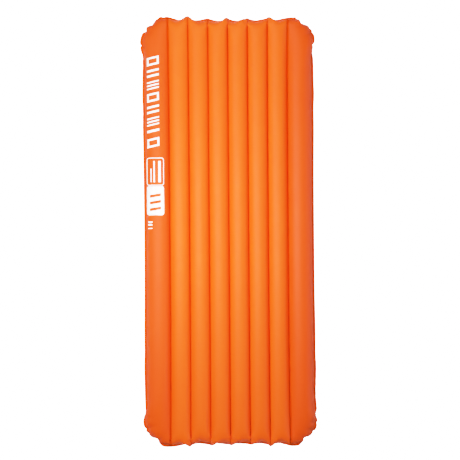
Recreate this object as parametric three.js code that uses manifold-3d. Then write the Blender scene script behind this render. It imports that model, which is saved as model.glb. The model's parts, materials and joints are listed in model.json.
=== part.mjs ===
// Inflatable sleeping pad with eight lengthwise air tubes and a two-stage flat valve.
//
// Frame: millimetres, +Z up, +Y towards the head end, +X to the left of a sleeper lying face up.
// The origin is on the floor, under the middle of the pad.
//
// Two sheets of coated fabric are welded together along a flat perimeter weld at mid-height. Seven
// I-beam baffles tie top sheet to bottom sheet and divide the inside into eight tubes; they stop
// short of both ends so that air passes from tube to tube. A reflective film strip hangs at
// mid-height in every tube. The valve sits in the outer lower flank of the +X side tube.
import * as THREE from "three";
import { mergeVertices } from "three/addons/utils/BufferGeometryUtils.js";
import Module from "manifold-3d";

const wasm = await Module();
wasm.setup();

const sinDeg = (deg) => Math.sin(THREE.MathUtils.degToRad(deg));
const cosDeg = (deg) => Math.cos(THREE.MathUtils.degToRad(deg));
const asinDeg = (ratio) => THREE.MathUtils.radToDeg(Math.asin(ratio));

// ---------------------------------------------------------------- driving dimensions (mm)
const LENGTH = 1960; // over the perimeter weld
const WELD = 9; // width of the perimeter weld
const PITCH = 89.6; // seam to seam
const INNER_TUBES = 6;
const STRIP = 8; // width of the flat weld strip at the bottom of each valley
const INNER_R = 48; // inner tube radius
const SIDE_R = 55; // side tube radius
const CONTACT_DEG = 11; // half angle of the flat on which a side tube rests
const CROWN_DEG = 12; // half angle of the flat on an inner tube's crown
const FILM = 0.6; // thickness of the sheets and of the reflective film
const GAP = 0.3; // clearance between separate pieces
const END_RISE = 60; // length over which the tubes close down to the end welds
const CORNER_R = 100; // plan radius of the four corners, inside the weld
const CORNER_FOOT = 16; // least width of a side tube, at the end weld

const BAFFLE_THICK = 0.6;
const BAFFLE_TAB = 7.4; // width of the weld tabs
const BAFFLE_LENGTH = 1762;
const STRIP_LENGTH = 1740; // reflective film
const STRIP_SEAM_CLEAR = 0.6; // film edge to baffle web
const STRIP_WELD_CLEAR = 5; // film edge to side weld

const VALVE_Y = -800; // along the pad, near the foot end
const VALVE_DEG = 58; // direction of the valve's axis, from straight down towards +X
const VALVE_HOLE = { radius: 18.5, depth: 12 };
const PATCH_HALF = 26; // half width of the flat panel round the valve
const PATCH_FLAT = 27; // half length of that flat panel
const PATCH_FADE = 45; // distance along Y at which it has faded back into the round tube

// worked out from the above
const HALF_CHORD = (PITCH - STRIP) / 2;
const VALLEY = Math.sqrt(INNER_R ** 2 - HALF_CHORD ** 2); // valley strip, from mid-height
const SIDE_OFFSET = Math.sqrt(SIDE_R ** 2 - VALLEY ** 2); // valley edge to side tube axis
const SIDE_IN = (INNER_TUBES / 2) * PITCH + STRIP / 2; // inner edge of a side tube
const SIDE_AXIS = SIDE_IN + SIDE_OFFSET;
const WELD_X = SIDE_AXIS + SIDE_R; // inner edge of the side weld
const WELD_Y = LENGTH / 2 - WELD; // inner edge of the end weld
const MID = SIDE_R * cosDeg(CONTACT_DEG); // height of the perimeter weld
const INNER_FACE = GAP / 2; // inner face of a sheet at the weld, from mid-height
const OUTER_FACE = INNER_FACE + FILM;
const PATCH_DEG = asinDeg(PATCH_HALF / SIDE_R);
const PATCH_CHORD = SIDE_R * cosDeg(PATCH_DEG); // side tube axis to the flat panel
const SEAMS = Array.from({ length: INNER_TUBES + 1 }, (_, k) => (k - INNER_TUBES / 2) * PITCH);

// ---------------------------------------------------------------- materials
const material = (look) => new THREE.MeshStandardMaterial(look);
const orangeFabric = material({ color: 0xf07a2c, roughness: 0.72 });
const baffleFabric = material({ color: 0xe9e4da, roughness: 0.7 });
const silverFilm = material({ color: 0xc9ccd0, roughness: 0.28, metalness: 0.9 });
const weldTpu = material({ color: 0x2b2d30, roughness: 0.55 });
const valvePlastic = material({ color: 0x1d1f22, roughness: 0.45 });
const capPlastic = material({ color: 0x26282b, roughness: 0.4 });
const silicone = material({ color: 0xd8d9d6, roughness: 0.5 });
const buttonPlastic = material({ color: 0xe8641e, roughness: 0.4 });

// ---------------------------------------------------------------- solids
function toManifold(geometry) {
  // normals and uvs would keep vertices at the same place from merging
  const bare = geometry.clone();
  for (const name of Object.keys(bare.attributes)) {
    if (name !== "position") bare.deleteAttribute(name);
  }
  const merged = mergeVertices(bare, 1e-4);
  return new wasm.Manifold(
    new wasm.Mesh({
      numProp: 3,
      vertProperties: new Float32Array(merged.attributes.position.array),
      triVerts: new Uint32Array(merged.index.array),
    }),
  );
}

function toGeometry(solid) {
  const { numVert, numProp, vertProperties, triVerts } = solid.getMesh();
  const positions = new Float32Array(numVert * 3);
  for (let i = 0; i < numVert; i++) {
    positions.set(vertProperties.subarray(i * numProp, i * numProp + 3), i * 3);
  }
  const geometry = new THREE.BufferGeometry();
  geometry.setAttribute("position", new THREE.BufferAttribute(positions, 3));
  geometry.setIndex(new THREE.BufferAttribute(new Uint32Array(triVerts), 1));
  geometry.computeVertexNormals();
  return geometry;
}

const join = (...geometries) =>
  toGeometry(geometries.map(toManifold).reduce((whole, part) => whole.add(part)));

// Box given by its [from, to] range on each axis.
function block([x0, x1], [y0, y1], [z0, z1]) {
  const geometry = new THREE.BoxGeometry(x1 - x0, y1 - y0, z1 - z0);
  return geometry.translate((x0 + x1) / 2, (y0 + y1) / 2, (z0 + z1) / 2);
}

// Solid turned about Z from a profile of [radius, z] points, closed here.
function lathe(profile, segments = 36) {
  const closed = [...profile, profile[0]].map(([radius, z]) => new THREE.Vector2(radius, z));
  return new THREE.LatheGeometry(closed, segments).rotateX(Math.PI / 2);
}

const ring = ([r0, r1], [z0, z1], segments) =>
  lathe([[r0, z0], [r1, z0], [r1, z1], [r0, z1]], segments);

// ---------------------------------------------------------------- fabric panels
// A panel is a grid of stations (across, from -X to +X) and rows (along Y), with the weld round
// it. Until the last step its z is measured outwards from mid-height.
const INNER_HALF_DEG = asinDeg(HALF_CHORD / INNER_R);
const SIDE_HALF_DEG = asinDeg(SIDE_OFFSET / SIDE_R);

// station angles, in degrees from the tube's crown towards the side weld
const INNER_DEGS = [-INNER_HALF_DEG, -35, -CROWN_DEG, CROWN_DEG, 35, INNER_HALF_DEG];
const SIDE_START_DEGS = [-SIDE_HALF_DEG, -37, -CONTACT_DEG, CONTACT_DEG];
const SIDE_DEGS = [...SIDE_START_DEGS, 33, 52, 70, 90];
const VALVE_SIDE_DEGS = [
  ...SIDE_START_DEGS,
  ...[-1, -0.5, 0, 0.5, 1].map((share) => VALVE_DEG + share * PATCH_DEG),
  90,
];

const END_ROW_DEGS = [0, 24, 45, 67, 90]; // round the end's quarter ellipse, from the weld
const END_ROWS = [
  ...END_ROW_DEGS.map((deg) => WELD_Y - END_RISE * (1 - cosDeg(deg))),
  WELD_Y - 80,
  WELD_Y - CORNER_R,
];
const MIDDLE_ROWS = [-280, 280];
const VALVE_ROWS = [-PATCH_FADE, -PATCH_FLAT, PATCH_FLAT, PATCH_FADE].map((y) => VALVE_Y + y);

// Mitres stretch an offset by 1 / cosine; these least cosines limit the stretch.
const OUTLINE_LEAST_COS = 0.85;
const SHEET_LEAST_COS = 0.62;
const SAME_NORMAL_COS = 0.9999; // normals closer than this count as one

// Distance from the middle to a side weld's inner edge: straight, then the corner arc.
function halfWidth(y) {
  const intoCorner = Math.max(0, Math.abs(y) - (WELD_Y - CORNER_R));
  const arc = Math.sqrt(Math.max(0, CORNER_R ** 2 - intoCorner ** 2));
  return Math.max(WELD_X - CORNER_R + arc, SIDE_IN + CORNER_FOOT);
}

// Share of full height at a given y: a quarter ellipse at each end.
function endShare(y) {
  const fromWeld = WELD_Y - Math.abs(y);
  if (fromWeld >= END_RISE) return 1;
  return Math.sqrt(Math.max(0, 1 - (1 - fromWeld / END_RISE) ** 2));
}

// Side stations hold a share of the side tube's width, so that they follow the corner arc, and
// an even share towards which they move as the tube closes.
const sideStations = (degs, side) =>
  degs.map((deg, k) => ({
    side,
    deg,
    evenShare: k / (degs.length - 1),
    share: (SIDE_OFFSET + SIDE_R * sinDeg(deg)) / (SIDE_OFFSET + SIDE_R),
    height: SIDE_R * cosDeg(deg),
  }));

// Inner stations have a fixed x.
const innerStations = () =>
  SEAMS.slice(0, -1).flatMap((seam) =>
    INNER_DEGS.map((deg) => ({
      x: seam + PITCH / 2 + INNER_R * sinDeg(deg),
      height: INNER_R * cosDeg(deg),
    })),
  );

// Point of the flat panel round the valve, where the arc drops to its chord.
function patchPoint(deg, y) {
  const along = PATCH_CHORD * Math.tan(THREE.MathUtils.degToRad(deg - VALVE_DEG));
  return new THREE.Vector3(
    SIDE_AXIS + sinDeg(VALVE_DEG) * PATCH_CHORD + cosDeg(VALVE_DEG) * along,
    y,
    cosDeg(VALVE_DEG) * PATCH_CHORD - sinDeg(VALVE_DEG) * along,
  );
}

function tubePoint(station, y) {
  const open = endShare(y);
  let x = station.x;
  if (station.side) {
    const share = open * station.share + (1 - open) * station.evenShare;
    x = station.side * (SIDE_IN + share * (halfWidth(y) - SIDE_IN));
  }
  return new THREE.Vector3(x, y, Math.max(station.height * open, OUTER_FACE));
}

function gridPoints(stations, rows, hasValve) {
  const onPatch = (station, y) =>
    hasValve &&
    station.side === 1 &&
    Math.abs(station.deg - VALVE_DEG) < PATCH_DEG &&
    Math.abs(y - VALVE_Y) < PATCH_FADE;
  return rows.flatMap((y) =>
    stations.map((station) =>
      onPatch(station, y) ? patchPoint(station.deg, y) : tubePoint(station, y),
    ),
  );
}

function gridFaces(points, across, along) {
  const faces = [];
  for (let j = 0; j + 1 < along; j++) {
    for (let i = 0; i + 1 < across; i++) {
      const a = j * across + i;
      const b = a + 1;
      const c = b + across;
      const d = a + across;
      // split along the shorter diagonal, which keeps the corner cells tidy
      if (points[a].distanceTo(points[c]) <= points[b].distanceTo(points[d])) {
        faces.push([a, b, c], [a, c, d]);
      } else {
        faces.push([a, b, d], [b, c, d]);
      }
    }
  }
  return faces;
}

// Indices round the grid's edge, counter-clockwise in plan.
function gridOutline(across, along) {
  const outline = [];
  const right = across - 1;
  const last = along - 1;
  for (let i = 0; i < right; i++) outline.push(i);
  for (let j = 0; j < last; j++) outline.push(j * across + right);
  for (let i = right; i > 0; i--) outline.push(last * across + i);
  for (let j = last; j > 0; j--) outline.push(j * across);
  return outline;
}

// Mitred outward directions of the outline in plan.
function outwardDirections(points, outline) {
  const count = outline.length;
  const edgeNormal = (from, to) => {
    const edge = new THREE.Vector2(to.x - from.x, to.y - from.y).normalize();
    return new THREE.Vector2(edge.y, -edge.x);
  };
  return outline.map((vertex, k) => {
    const before = edgeNormal(points[outline[(k + count - 1) % count]], points[vertex]);
    const after = edgeNormal(points[vertex], points[outline[(k + 1) % count]]);
    const mean = before.clone().add(after).normalize();
    return mean.multiplyScalar(1 / Math.max(OUTLINE_LEAST_COS, mean.dot(before)));
  });
}

function distinctNormals(points, faces) {
  const normals = points.map(() => []);
  for (const face of faces) {
    const [a, b, c] = face.map((vertex) => points[vertex]);
    const normal = new THREE.Vector3()
      .subVectors(b, a)
      .cross(new THREE.Vector3().subVectors(c, a))
      .normalize();
    for (const vertex of face) {
      const known = normals[vertex].some((other) => other.dot(normal) > SAME_NORMAL_COS);
      if (!known) normals[vertex].push(normal);
    }
  }
  return normals;
}

// Point moved in by the sheet's thickness, mitred where faces meet.
function insetPoint(point, normals) {
  const mean = normals.reduce((sum, normal) => sum.add(normal), new THREE.Vector3()).normalize();
  const leastCos = Math.min(...normals.map((normal) => normal.dot(mean)));
  const inset = point.clone().addScaledVector(mean, -FILM / Math.max(SHEET_LEAST_COS, leastCos));
  inset.z = Math.max(inset.z, INNER_FACE);
  return inset;
}

// One fabric panel: up = 1 for the top sheet, -1 for the bottom sheet, which takes the valve.
function panel(up) {
  const hasValve = up < 0;
  const stations = [
    ...sideStations(SIDE_DEGS, -1).reverse(),
    ...innerStations(),
    ...sideStations(hasValve ? VALVE_SIDE_DEGS : SIDE_DEGS, 1),
  ];
  const rows = [
    ...END_ROWS.map((y) => -y),
    ...(hasValve ? VALVE_ROWS : []),
    ...MIDDLE_ROWS,
    ...END_ROWS.toReversed(),
  ];
  const outer = gridPoints(stations, rows, hasValve);
  const faces = gridFaces(outer, stations.length, rows.length);
  const outline = gridOutline(stations.length, rows.length);
  const outward = outwardDirections(outer, outline);

  // flat weld round the grid
  const weldStart = outer.length;
  const edges = outline.map((_, k) => [k, (k + 1) % outline.length]);
  outline.forEach((vertex, k) => {
    const { x, y } = outer[vertex];
    outer.push(new THREE.Vector3(x + outward[k].x * WELD, y + outward[k].y * WELD, OUTER_FACE));
  });
  for (const [k, next] of edges) {
    faces.push([outline[k], weldStart + k, weldStart + next]);
    faces.push([outline[k], weldStart + next, outline[next]]);
  }

  const normals = distinctNormals(outer, faces);
  const outlinePlace = new Map(outline.map((vertex, k) => [vertex, k]));
  const inner = outer.map((point, vertex) => {
    if (outlinePlace.has(vertex)) {
      const { x, y } = outward[outlinePlace.get(vertex)];
      return new THREE.Vector3(point.x - x * FILM, point.y - y * FILM, INNER_FACE);
    }
    if (vertex >= weldStart) return new THREE.Vector3(point.x, point.y, INNER_FACE);
    return insetPoint(point, normals[vertex]);
  });

  const count = outer.length; // inner vertices follow the outer ones
  const positions = [...outer, ...inner].flatMap(({ x, y, z }) => [x, y, MID + up * z]);
  const index = [];
  // the bottom sheet is mirrored, so its triangles turn the other way
  const put = (a, b, c) => (up > 0 ? index.push(a, b, c) : index.push(a, c, b));
  for (const [a, b, c] of faces) {
    put(a, b, c);
    put(a + count, c + count, b + count);
  }
  for (const [k, next] of edges) {
    const a = weldStart + k;
    const b = weldStart + next;
    put(a, a + count, b + count);
    put(a, b + count, b);
  }
  const geometry = new THREE.BufferGeometry();
  geometry.setAttribute("position", new THREE.Float32BufferAttribute(positions, 3));
  geometry.setIndex(index);
  return geometry;
}

// Bottom sheet, with the hole the valve's collar passes through.
function bottomPanel(valveMatrix) {
  const { radius, depth } = VALVE_HOLE;
  const hole = new THREE.CylinderGeometry(radius, radius, depth, 36);
  hole.rotateX(Math.PI / 2).applyMatrix4(valveMatrix);
  return toGeometry(toManifold(panel(-1)).subtract(toManifold(hole)));
}

// ---------------------------------------------------------------- inside the pad
// An I-beam baffle: a web with a weld tab along its top and bottom edges, extruded along Y.
function baffle() {
  const top = VALLEY - FILM - GAP;
  const underTab = top - BAFFLE_THICK;
  const web = BAFFLE_THICK / 2;
  const tab = BAFFLE_TAB / 2;
  const rightHalf = [[tab, -top], [tab, -underTab], [web, -underTab], [web, underTab],
    [tab, underTab], [tab, top]];
  const leftHalf = rightHalf.map(([x, z]) => [-x, -z]);
  const section = [...rightHalf, ...leftHalf].map(([x, z]) => new THREE.Vector2(x, z));
  const geometry = new THREE.ExtrudeGeometry(new THREE.Shape(section), {
    depth: BAFFLE_LENGTH,
    bevelEnabled: false,
  });
  return geometry.translate(0, 0, -BAFFLE_LENGTH / 2).rotateX(Math.PI / 2);
}

// Reflective film of one tube, counted from -X.
function filmStrip(tube) {
  const seamClear = BAFFLE_THICK / 2 + STRIP_SEAM_CLEAR;
  const weldEdge = WELD_X - STRIP_WELD_CLEAR;
  const left = tube === 0 ? -weldEdge : SEAMS[tube - 1] + seamClear;
  const right = tube === SEAMS.length ? weldEdge : SEAMS[tube] - seamClear;
  return block([left, right], [-STRIP_LENGTH / 2, STRIP_LENGTH / 2], [-FILM / 2, FILM / 2]);
}

// ---------------------------------------------------------------- valve pieces
// Valve frame: +Z points out of the pad along the valve's axis, with 0 at the fabric's outer face;
// +X points up the tube's flank and +Y is the pad's -Y. Profile tables hold [radius, z] points.
const LID_HINGE = [21.5, 0, 5.2]; // deflate lid's hinge, up the flank
const CAP_HINGE = [0, 14.5, 8.3]; // inflate cap's hinge, towards the foot end
const SEAT_RIM_Z = [2.5, 4.0];
const LID_PLATE_Z = [5.3, 6.6];
const HUB_Z = -1.6; // underside of the lid's hub and spokes
const CAP_PLATE_Z = [8.15, 9.4];
const SMALL_SEGMENTS = 24; // for the hub and the release button

// collar with a weld flange inside the fabric
const valveBase = () =>
  lathe([
    [16.4, -7.5], [18.0, -7.5], [18.0, -2.1], [25.0, -2.1],
    [25.0, -0.9], [18.0, -0.9], [18.0, 2.2], [16.4, 2.2],
  ]);

// sleeve with a rim, and a tab under the lid's hinge
const valveSeat = () =>
  join(
    lathe([[14.6, -6.9], [16.1, -6.9], [16.1, 2.5], [19.0, 2.5], [19.0, 4.0], [14.6, 4.0]]),
    block([17.5, 20.6], [-5, 5], SEAT_RIM_Z),
  );

const lidStrap = () => block([19.4, 21.9], [-4, 4], [4.3, 4.95]);
const lidSeal = () => ring([15.4, 18.4], [4.25, 5.0]);

// plate, tapered skirt and inflate port wall with a lip, round a three-spoke hub
function deflateLid() {
  const body = lathe([
    [8.0, -1.6], [10.6, -1.6], [10.6, 5.3], [12.2, 5.3], [12.2, -3.0], [13.2, -3.0], [13.9, 5.3],
    [19.0, 5.3], [19.0, 6.6], [10.6, 6.6], [10.6, 7.0], [9.4, 7.0], [9.4, -0.4], [8.0, -0.4],
  ]);
  const hub = ring([1.4, 2.8], [HUB_Z, 0], SMALL_SEGMENTS);
  const hingeTab = block([18.2, 21.1], [-4, 4], LID_PLATE_Z);
  const thumbTab = block([-22.0, -18.2], [-5.5, 5.5], LID_PLATE_Z);
  const spokes = [30, 150, 270].map((deg) =>
    block([2.2, 8.6], [-0.8, 0.8], [HUB_Z, -0.4]).rotateZ(THREE.MathUtils.degToRad(deg)),
  );
  return join(body, hub, hingeTab, thumbTab, ...spokes);
}

const checkDiaphragm = () => ring([1.5, 9.0], [-2.7, -2.0]);

// stem with a foot below and a head on top
const releaseButton = () =>
  lathe(
    [
      [0, -3.9], [2.2, -3.9], [2.2, -3.0], [1.0, -3.0],
      [1.0, 2.6], [3.0, 2.6], [3.0, 3.8], [0, 3.8],
    ],
    SMALL_SEGMENTS,
  );

const capStrap = () => block([-3.5, 3.5], [12.4, 14.2], [6.9, 7.5]);
const capSeal = () => ring([9.0, 11.4], [7.25, 7.9]);

// disc with a plug ring below, a hinge tab and a finger tab opposite
const inflateCap = () =>
  join(
    lathe([
      [7.4, 4.6], [8.7, 4.6], [8.7, 8.15], [12.0, 8.15],
      [12.0, 9.4], [0, 9.4], [0, 8.15], [7.4, 8.15],
    ]),
    block([-3.5, 3.5], [11.0, 14.2], CAP_PLATE_Z),
    block([-4.0, 4.0], [-15.6, -11.0], CAP_PLATE_Z),
  );

// ---------------------------------------------------------------- assembly
function add(parent, name, geometry, surface) {
  const mesh = new THREE.Mesh(geometry, surface);
  mesh.name = name;
  parent.add(mesh);
  return mesh;
}

// the valve frame's axes in the pad's frame
const valveOut = new THREE.Vector3(sinDeg(VALVE_DEG), 0, -cosDeg(VALVE_DEG));
const valveUp = new THREE.Vector3(cosDeg(VALVE_DEG), 0, sinDeg(VALVE_DEG));
const valveFoot = new THREE.Vector3().crossVectors(valveOut, valveUp);

const valve = new THREE.Group();
valve.quaternion.setFromRotationMatrix(
  new THREE.Matrix4().makeBasis(valveUp, valveFoot, valveOut),
);
valve.position.set(SIDE_AXIS, VALVE_Y, MID).addScaledVector(valveOut, PATCH_CHORD);
valve.updateMatrixWorld(true);

const pad = new THREE.Group();
add(pad, "top_panel", panel(1), orangeFabric);
add(pad, "bottom_panel", bottomPanel(valve.matrixWorld), orangeFabric);
SEAMS.forEach((x, k) => {
  add(pad, `baffle_${k + 1}`, baffle(), baffleFabric).position.set(x, 0, MID);
});
for (let tube = 0; tube <= SEAMS.length; tube++) {
  const film = add(pad, `reflective_film_${tube + 1}`, filmStrip(tube), silverFilm);
  film.position.set(0, 0, MID);
}

add(valve, "valve_base", valveBase(), weldTpu);
add(valve, "valve_seat", valveSeat(), valvePlastic);
add(valve, "deflate_lid_strap", lidStrap(), weldTpu);
add(valve, "deflate_lid", deflateLid(), valvePlastic);
add(valve, "deflate_lid_seal", lidSeal(), silicone);
add(valve, "check_diaphragm", checkDiaphragm(), silicone);
add(valve, "release_button", releaseButton(), buttonPlastic);
add(valve, "inflate_cap_strap", capStrap(), weldTpu);
add(valve, "inflate_cap", inflateCap(), capPlastic);
add(valve, "inflate_cap_seal", capSeal(), silicone);
pad.add(valve);

// hinge and slide places in the pad's frame, for whoever assembles it
const inPadFrame = (point) =>
  new THREE.Vector3(...point).applyMatrix4(valve.matrixWorld).toArray();
pad.userData.joints = {
  deflate_lid_hinge: inPadFrame(LID_HINGE),
  inflate_cap_hinge: inPadFrame(CAP_HINGE),
  check_valve_travel: inPadFrame([0, 0, 0]),
  along: { n: valveOut.toArray(), t: valveUp.toArray(), s: valveFoot.toArray() },
};

export default pad;
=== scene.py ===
"""An inflated sleeping pad, lying flat: width along X, length along Y, its underside on z = 0.

Two orange sheets are welded round the edge and tied by seven baffles that run along Y, which makes
six tubes and two wider side tubes. The air valve sits low on the +X flank near the -Y end, and the
printed marks are on top of the -X side tube. Pad and valve are worked out in mm and built in metres.
"""

import json
import math

import bmesh
import bpy
import numpy as np
from mathutils import Matrix, Vector
from mathutils.bvhtree import BVHTree


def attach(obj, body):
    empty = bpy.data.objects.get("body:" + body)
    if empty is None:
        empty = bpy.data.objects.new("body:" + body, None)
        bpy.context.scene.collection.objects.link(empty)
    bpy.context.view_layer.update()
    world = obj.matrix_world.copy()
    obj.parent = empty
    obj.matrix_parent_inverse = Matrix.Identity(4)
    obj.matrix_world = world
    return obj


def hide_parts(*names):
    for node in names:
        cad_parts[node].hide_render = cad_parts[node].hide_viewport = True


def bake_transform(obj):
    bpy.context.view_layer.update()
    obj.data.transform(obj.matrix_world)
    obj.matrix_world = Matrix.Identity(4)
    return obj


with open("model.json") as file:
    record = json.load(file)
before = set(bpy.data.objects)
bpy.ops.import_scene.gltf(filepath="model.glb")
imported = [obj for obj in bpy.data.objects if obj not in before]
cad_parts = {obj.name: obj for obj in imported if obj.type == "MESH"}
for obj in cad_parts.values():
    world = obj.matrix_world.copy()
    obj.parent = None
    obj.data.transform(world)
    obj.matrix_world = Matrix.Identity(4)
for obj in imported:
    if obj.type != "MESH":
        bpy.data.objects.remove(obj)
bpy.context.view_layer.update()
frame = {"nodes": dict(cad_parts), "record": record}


# ==========================================================================================
# 1. The pad: flat pattern, inflated by a pressure simulation
# ==========================================================================================
# In mm, centred on the pad, with z = 0 at the perimeter weld until the pad is lifted by MID.
# The sheets are cut flat and wider than the inflated pad. Pressure pulls the tubes round, and the
# spare cloth at the ends and round the corners goes into puckers. In the flat pattern `across`
# runs along X from the middle seam and `along` runs along Y from mid-length.
PITCH = 89.6  # between seams, inflated
STRIP = 3.4  # width of a baffle's weld
TUBE_R = 48.0
SIDE_R = 55.0
LAST_SEAM = 3  # seams are numbered -3 to 3
HALF_CHORD = (PITCH - STRIP) / 2
VALLEY = math.sqrt(TUBE_R ** 2 - HALF_CHORD ** 2)  # height of a seam over mid-height
SIDE_OFFSET = math.sqrt(SIDE_R ** 2 - VALLEY ** 2)
SIDE_IN = LAST_SEAM * PITCH + STRIP / 2
SIDE_AXIS = SIDE_IN + SIDE_OFFSET
MID = SIDE_R * math.cos(math.radians(11))  # height of the perimeter weld over the floor
TUBE_ANGLE = math.asin(HALF_CHORD / TUBE_R)
SIDE_ANGLE = math.asin(SIDE_OFFSET / SIDE_R)
TUBE_ARC = 2 * TUBE_R * TUBE_ANGLE
SIDE_ARC = SIDE_R * (SIDE_ANGLE + math.pi / 2)
FLAT_PITCH = TUBE_ARC + STRIP
SIDE_START = LAST_SEAM * FLAT_PITCH + STRIP / 2  # where the side tube and the corner start, flat
WELD = 7.5  # width of the perimeter weld
HALF_LENGTH = 977.0  # flat, to the inside of the end weld at the seams
BOW = 4.0  # how much further the end weld reaches at the outermost seams
BULGE = 4.5  # and how much further at the middle of each tube
SIDE_FLAT = SIDE_ARC - 7.0  # flat width of a side tube's panel
CORNER_LENGTH = 150.0
CORNER_WIDTH = 128.0  # less than SIDE_FLAT: the sides are cut in towards the corners
LEAD = 240.0  # length over which the sides are cut in
DIAGONAL_CUT = 0.045  # how much closer in the corner is cut on its diagonal than an ellipse
CORNER_V = HALF_LENGTH - CORNER_LENGTH
TUBE_CELLS, SIDE_CELLS = 13, 20
CORNER_ROWS = SIDE_CELLS + 2
ROW_GROWTH, ROW_MAX = 1.08, 15.0  # rows widen by this ratio, up to this step
# simulation
PUSH = 0.04  # how far cloth resists being pushed together, against 1 for being pulled apart
OVER_RELAX = 1.5
KEEP, KEEP_LATE = 0.9, 0.75  # share of the speed kept, early on and in the last 30 % of steps
SHEET_GAP = 0.6  # least distance between the sheets
TIE_END = 40.0  # over which the baffles' hold runs out towards the end weld


def smooth(t):
    t = np.clip(t, 0, 1)
    return t * t * (3 - 2 * t)


def inflated_section(flat):
    """Inflated x and height over mid-height at a flat distance from the middle seam."""
    sign, dist = np.sign(flat), np.abs(flat)
    seam = np.minimum(np.floor((dist + STRIP / 2) / FLAT_PITCH), LAST_SEAM)
    past = dist - seam * FLAT_PITCH
    x, z = seam * PITCH + past, np.full_like(dist, VALLEY)
    inner = (past > STRIP / 2) & (seam < LAST_SEAM)
    angle = -TUBE_ANGLE + (past - STRIP / 2) / TUBE_R
    x = np.where(inner, seam * PITCH + PITCH / 2 + TUBE_R * np.sin(angle), x)
    z = np.where(inner, TUBE_R * np.cos(angle), z)
    side = (past > STRIP / 2) & (seam >= LAST_SEAM)
    angle = np.minimum(-SIDE_ANGLE + (past - STRIP / 2) / SIDE_R, math.pi / 2)
    over = np.maximum(past - STRIP / 2 - SIDE_ARC, 0)
    x = np.where(side, SIDE_AXIS + SIDE_R * np.sin(angle) + over, x)
    z = np.where(side, SIDE_R * np.cos(angle), z)
    return sign * x, z


def split(values, n):
    """Every interval between the values cut into n."""
    t = np.arange(n) / n
    out = (values[:-1, None] + (values[1:] - values[:-1])[:, None] * t).ravel()
    return np.append(out, values[-1])


def mirrored(half):
    return np.concatenate([-half[:0:-1], half])


def grid_lines():
    """Columns and rows of the flat pattern's coarse grid."""
    cols = [0.0, STRIP / 2]
    for k in range(LAST_SEAM):
        base = k * FLAT_PITCH + STRIP / 2
        cols += [base + TUBE_ARC * i / TUBE_CELLS for i in range(1, TUBE_CELLS + 1)]
        seam = (k + 1) * FLAT_PITCH
        cols += [seam, seam + STRIP / 2]
    cols += [SIDE_START + SIDE_FLAT * i / SIDE_CELLS for i in range(1, SIDE_CELLS + 1)]
    cols += [SIDE_START + SIDE_FLAT + WELD]
    # rows from the end weld towards the middle: even in the corner, then wider and wider
    rows = [HALF_LENGTH - CORNER_LENGTH * i / CORNER_ROWS for i in range(CORNER_ROWS + 1)]
    step, row = CORNER_LENGTH / CORNER_ROWS, rows[-1]
    while row > 1e-6:
        step = min(step * ROW_GROWTH, ROW_MAX)
        if row - step < step * 0.6:
            n = 1 if row < step * 1.3 else 2
            rows += [row - row * (i + 1) / n for i in range(n)]
            break
        row -= step
        rows.append(row)
    rows = np.array(rows[::-1])
    rows[0] = 0.0
    return mirrored(np.array(cols)), mirrored(np.append(rows, HALF_LENGTH + WELD))


def flat_pattern(cols, rows):
    """Grid points with the corners rounded and the sides drawn in towards them."""
    col_grid, row_grid = np.meshgrid(cols, rows)
    across, along = np.abs(col_grid), np.abs(row_grid)
    # 0 to 1 over the side tube and over the corner's length
    side, end = (across - SIDE_START) / SIDE_FLAT, (along - CORNER_V) / CORNER_LENGTH
    side_in, end_in = np.clip(side, 0, 1), np.clip(end, 0, 1)
    corner = (side > 0) & (end > 0)
    # square to disc
    disc_u = side_in * np.sqrt(1 - end_in ** 2 / 2)
    disc_v = end_in * np.sqrt(1 - side_in ** 2 / 2)
    diagonal = (2 * disc_u * disc_v) ** 2 / (disc_u * disc_u + disc_v * disc_v + 1e-9)
    cut = 1 - DIAGONAL_CUT * np.where(corner, diagonal, 0)
    disc_u, disc_v = disc_u * cut, disc_v * cut
    narrow = 1 - (1 - CORNER_WIDTH / SIDE_FLAT) * smooth((along - (CORNER_V - LEAD)) / LEAD)
    straight = np.where(side > 0, SIDE_START + SIDE_FLAT * side_in * narrow, across)
    u = np.where(corner, SIDE_START + SIDE_FLAT * disc_u * narrow, straight)
    v = np.where(corner, CORNER_V + CORNER_LENGTH * disc_v, along)
    # perimeter weld: outward from the outline
    over_u = np.maximum(across - (SIDE_START + SIDE_FLAT), 0)
    over_v = np.maximum(along - HALF_LENGTH, 0)
    over = np.maximum(over_u, over_v)
    angle = np.arctan2(disc_v / CORNER_LENGTH, disc_u / (SIDE_FLAT * narrow) + 1e-12)
    # the weld's own grid corner is fanned out a little
    fan = 0.03 * over / WELD
    angle = np.where(corner & (np.abs(side - 1) < 1e-6) & (over_v > 0), angle + fan, angle)
    angle = np.where(corner & (np.abs(end - 1) < 1e-6) & (over_u > 0), angle - fan, angle)
    welded = corner & (over > 0)
    u = np.where(welded, u + over * np.cos(angle), u)
    v = np.where(welded, v + over * np.sin(angle), v)
    u = np.where(~corner & (over_u > 0), u + over, u)
    v = np.where(~corner & (over_v > 0), HALF_LENGTH + over, v)
    # the end weld bows out towards the outermost seams, and over each tube
    far = np.clip((v - 300) / 600, 0, 1)
    v = v + BOW * smooth((np.abs(u) - 1.2 * FLAT_PITCH) / (1.6 * FLAT_PITCH)) * far
    hump = 0.5 - 0.5 * np.cos(2 * math.pi * u / FLAT_PITCH)
    v = v + BULGE * np.where(np.abs(u) < LAST_SEAM * FLAT_PITCH, hump, 0) * far ** 4
    return np.sign(col_grid) * u, np.sign(row_grid) * v


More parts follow.
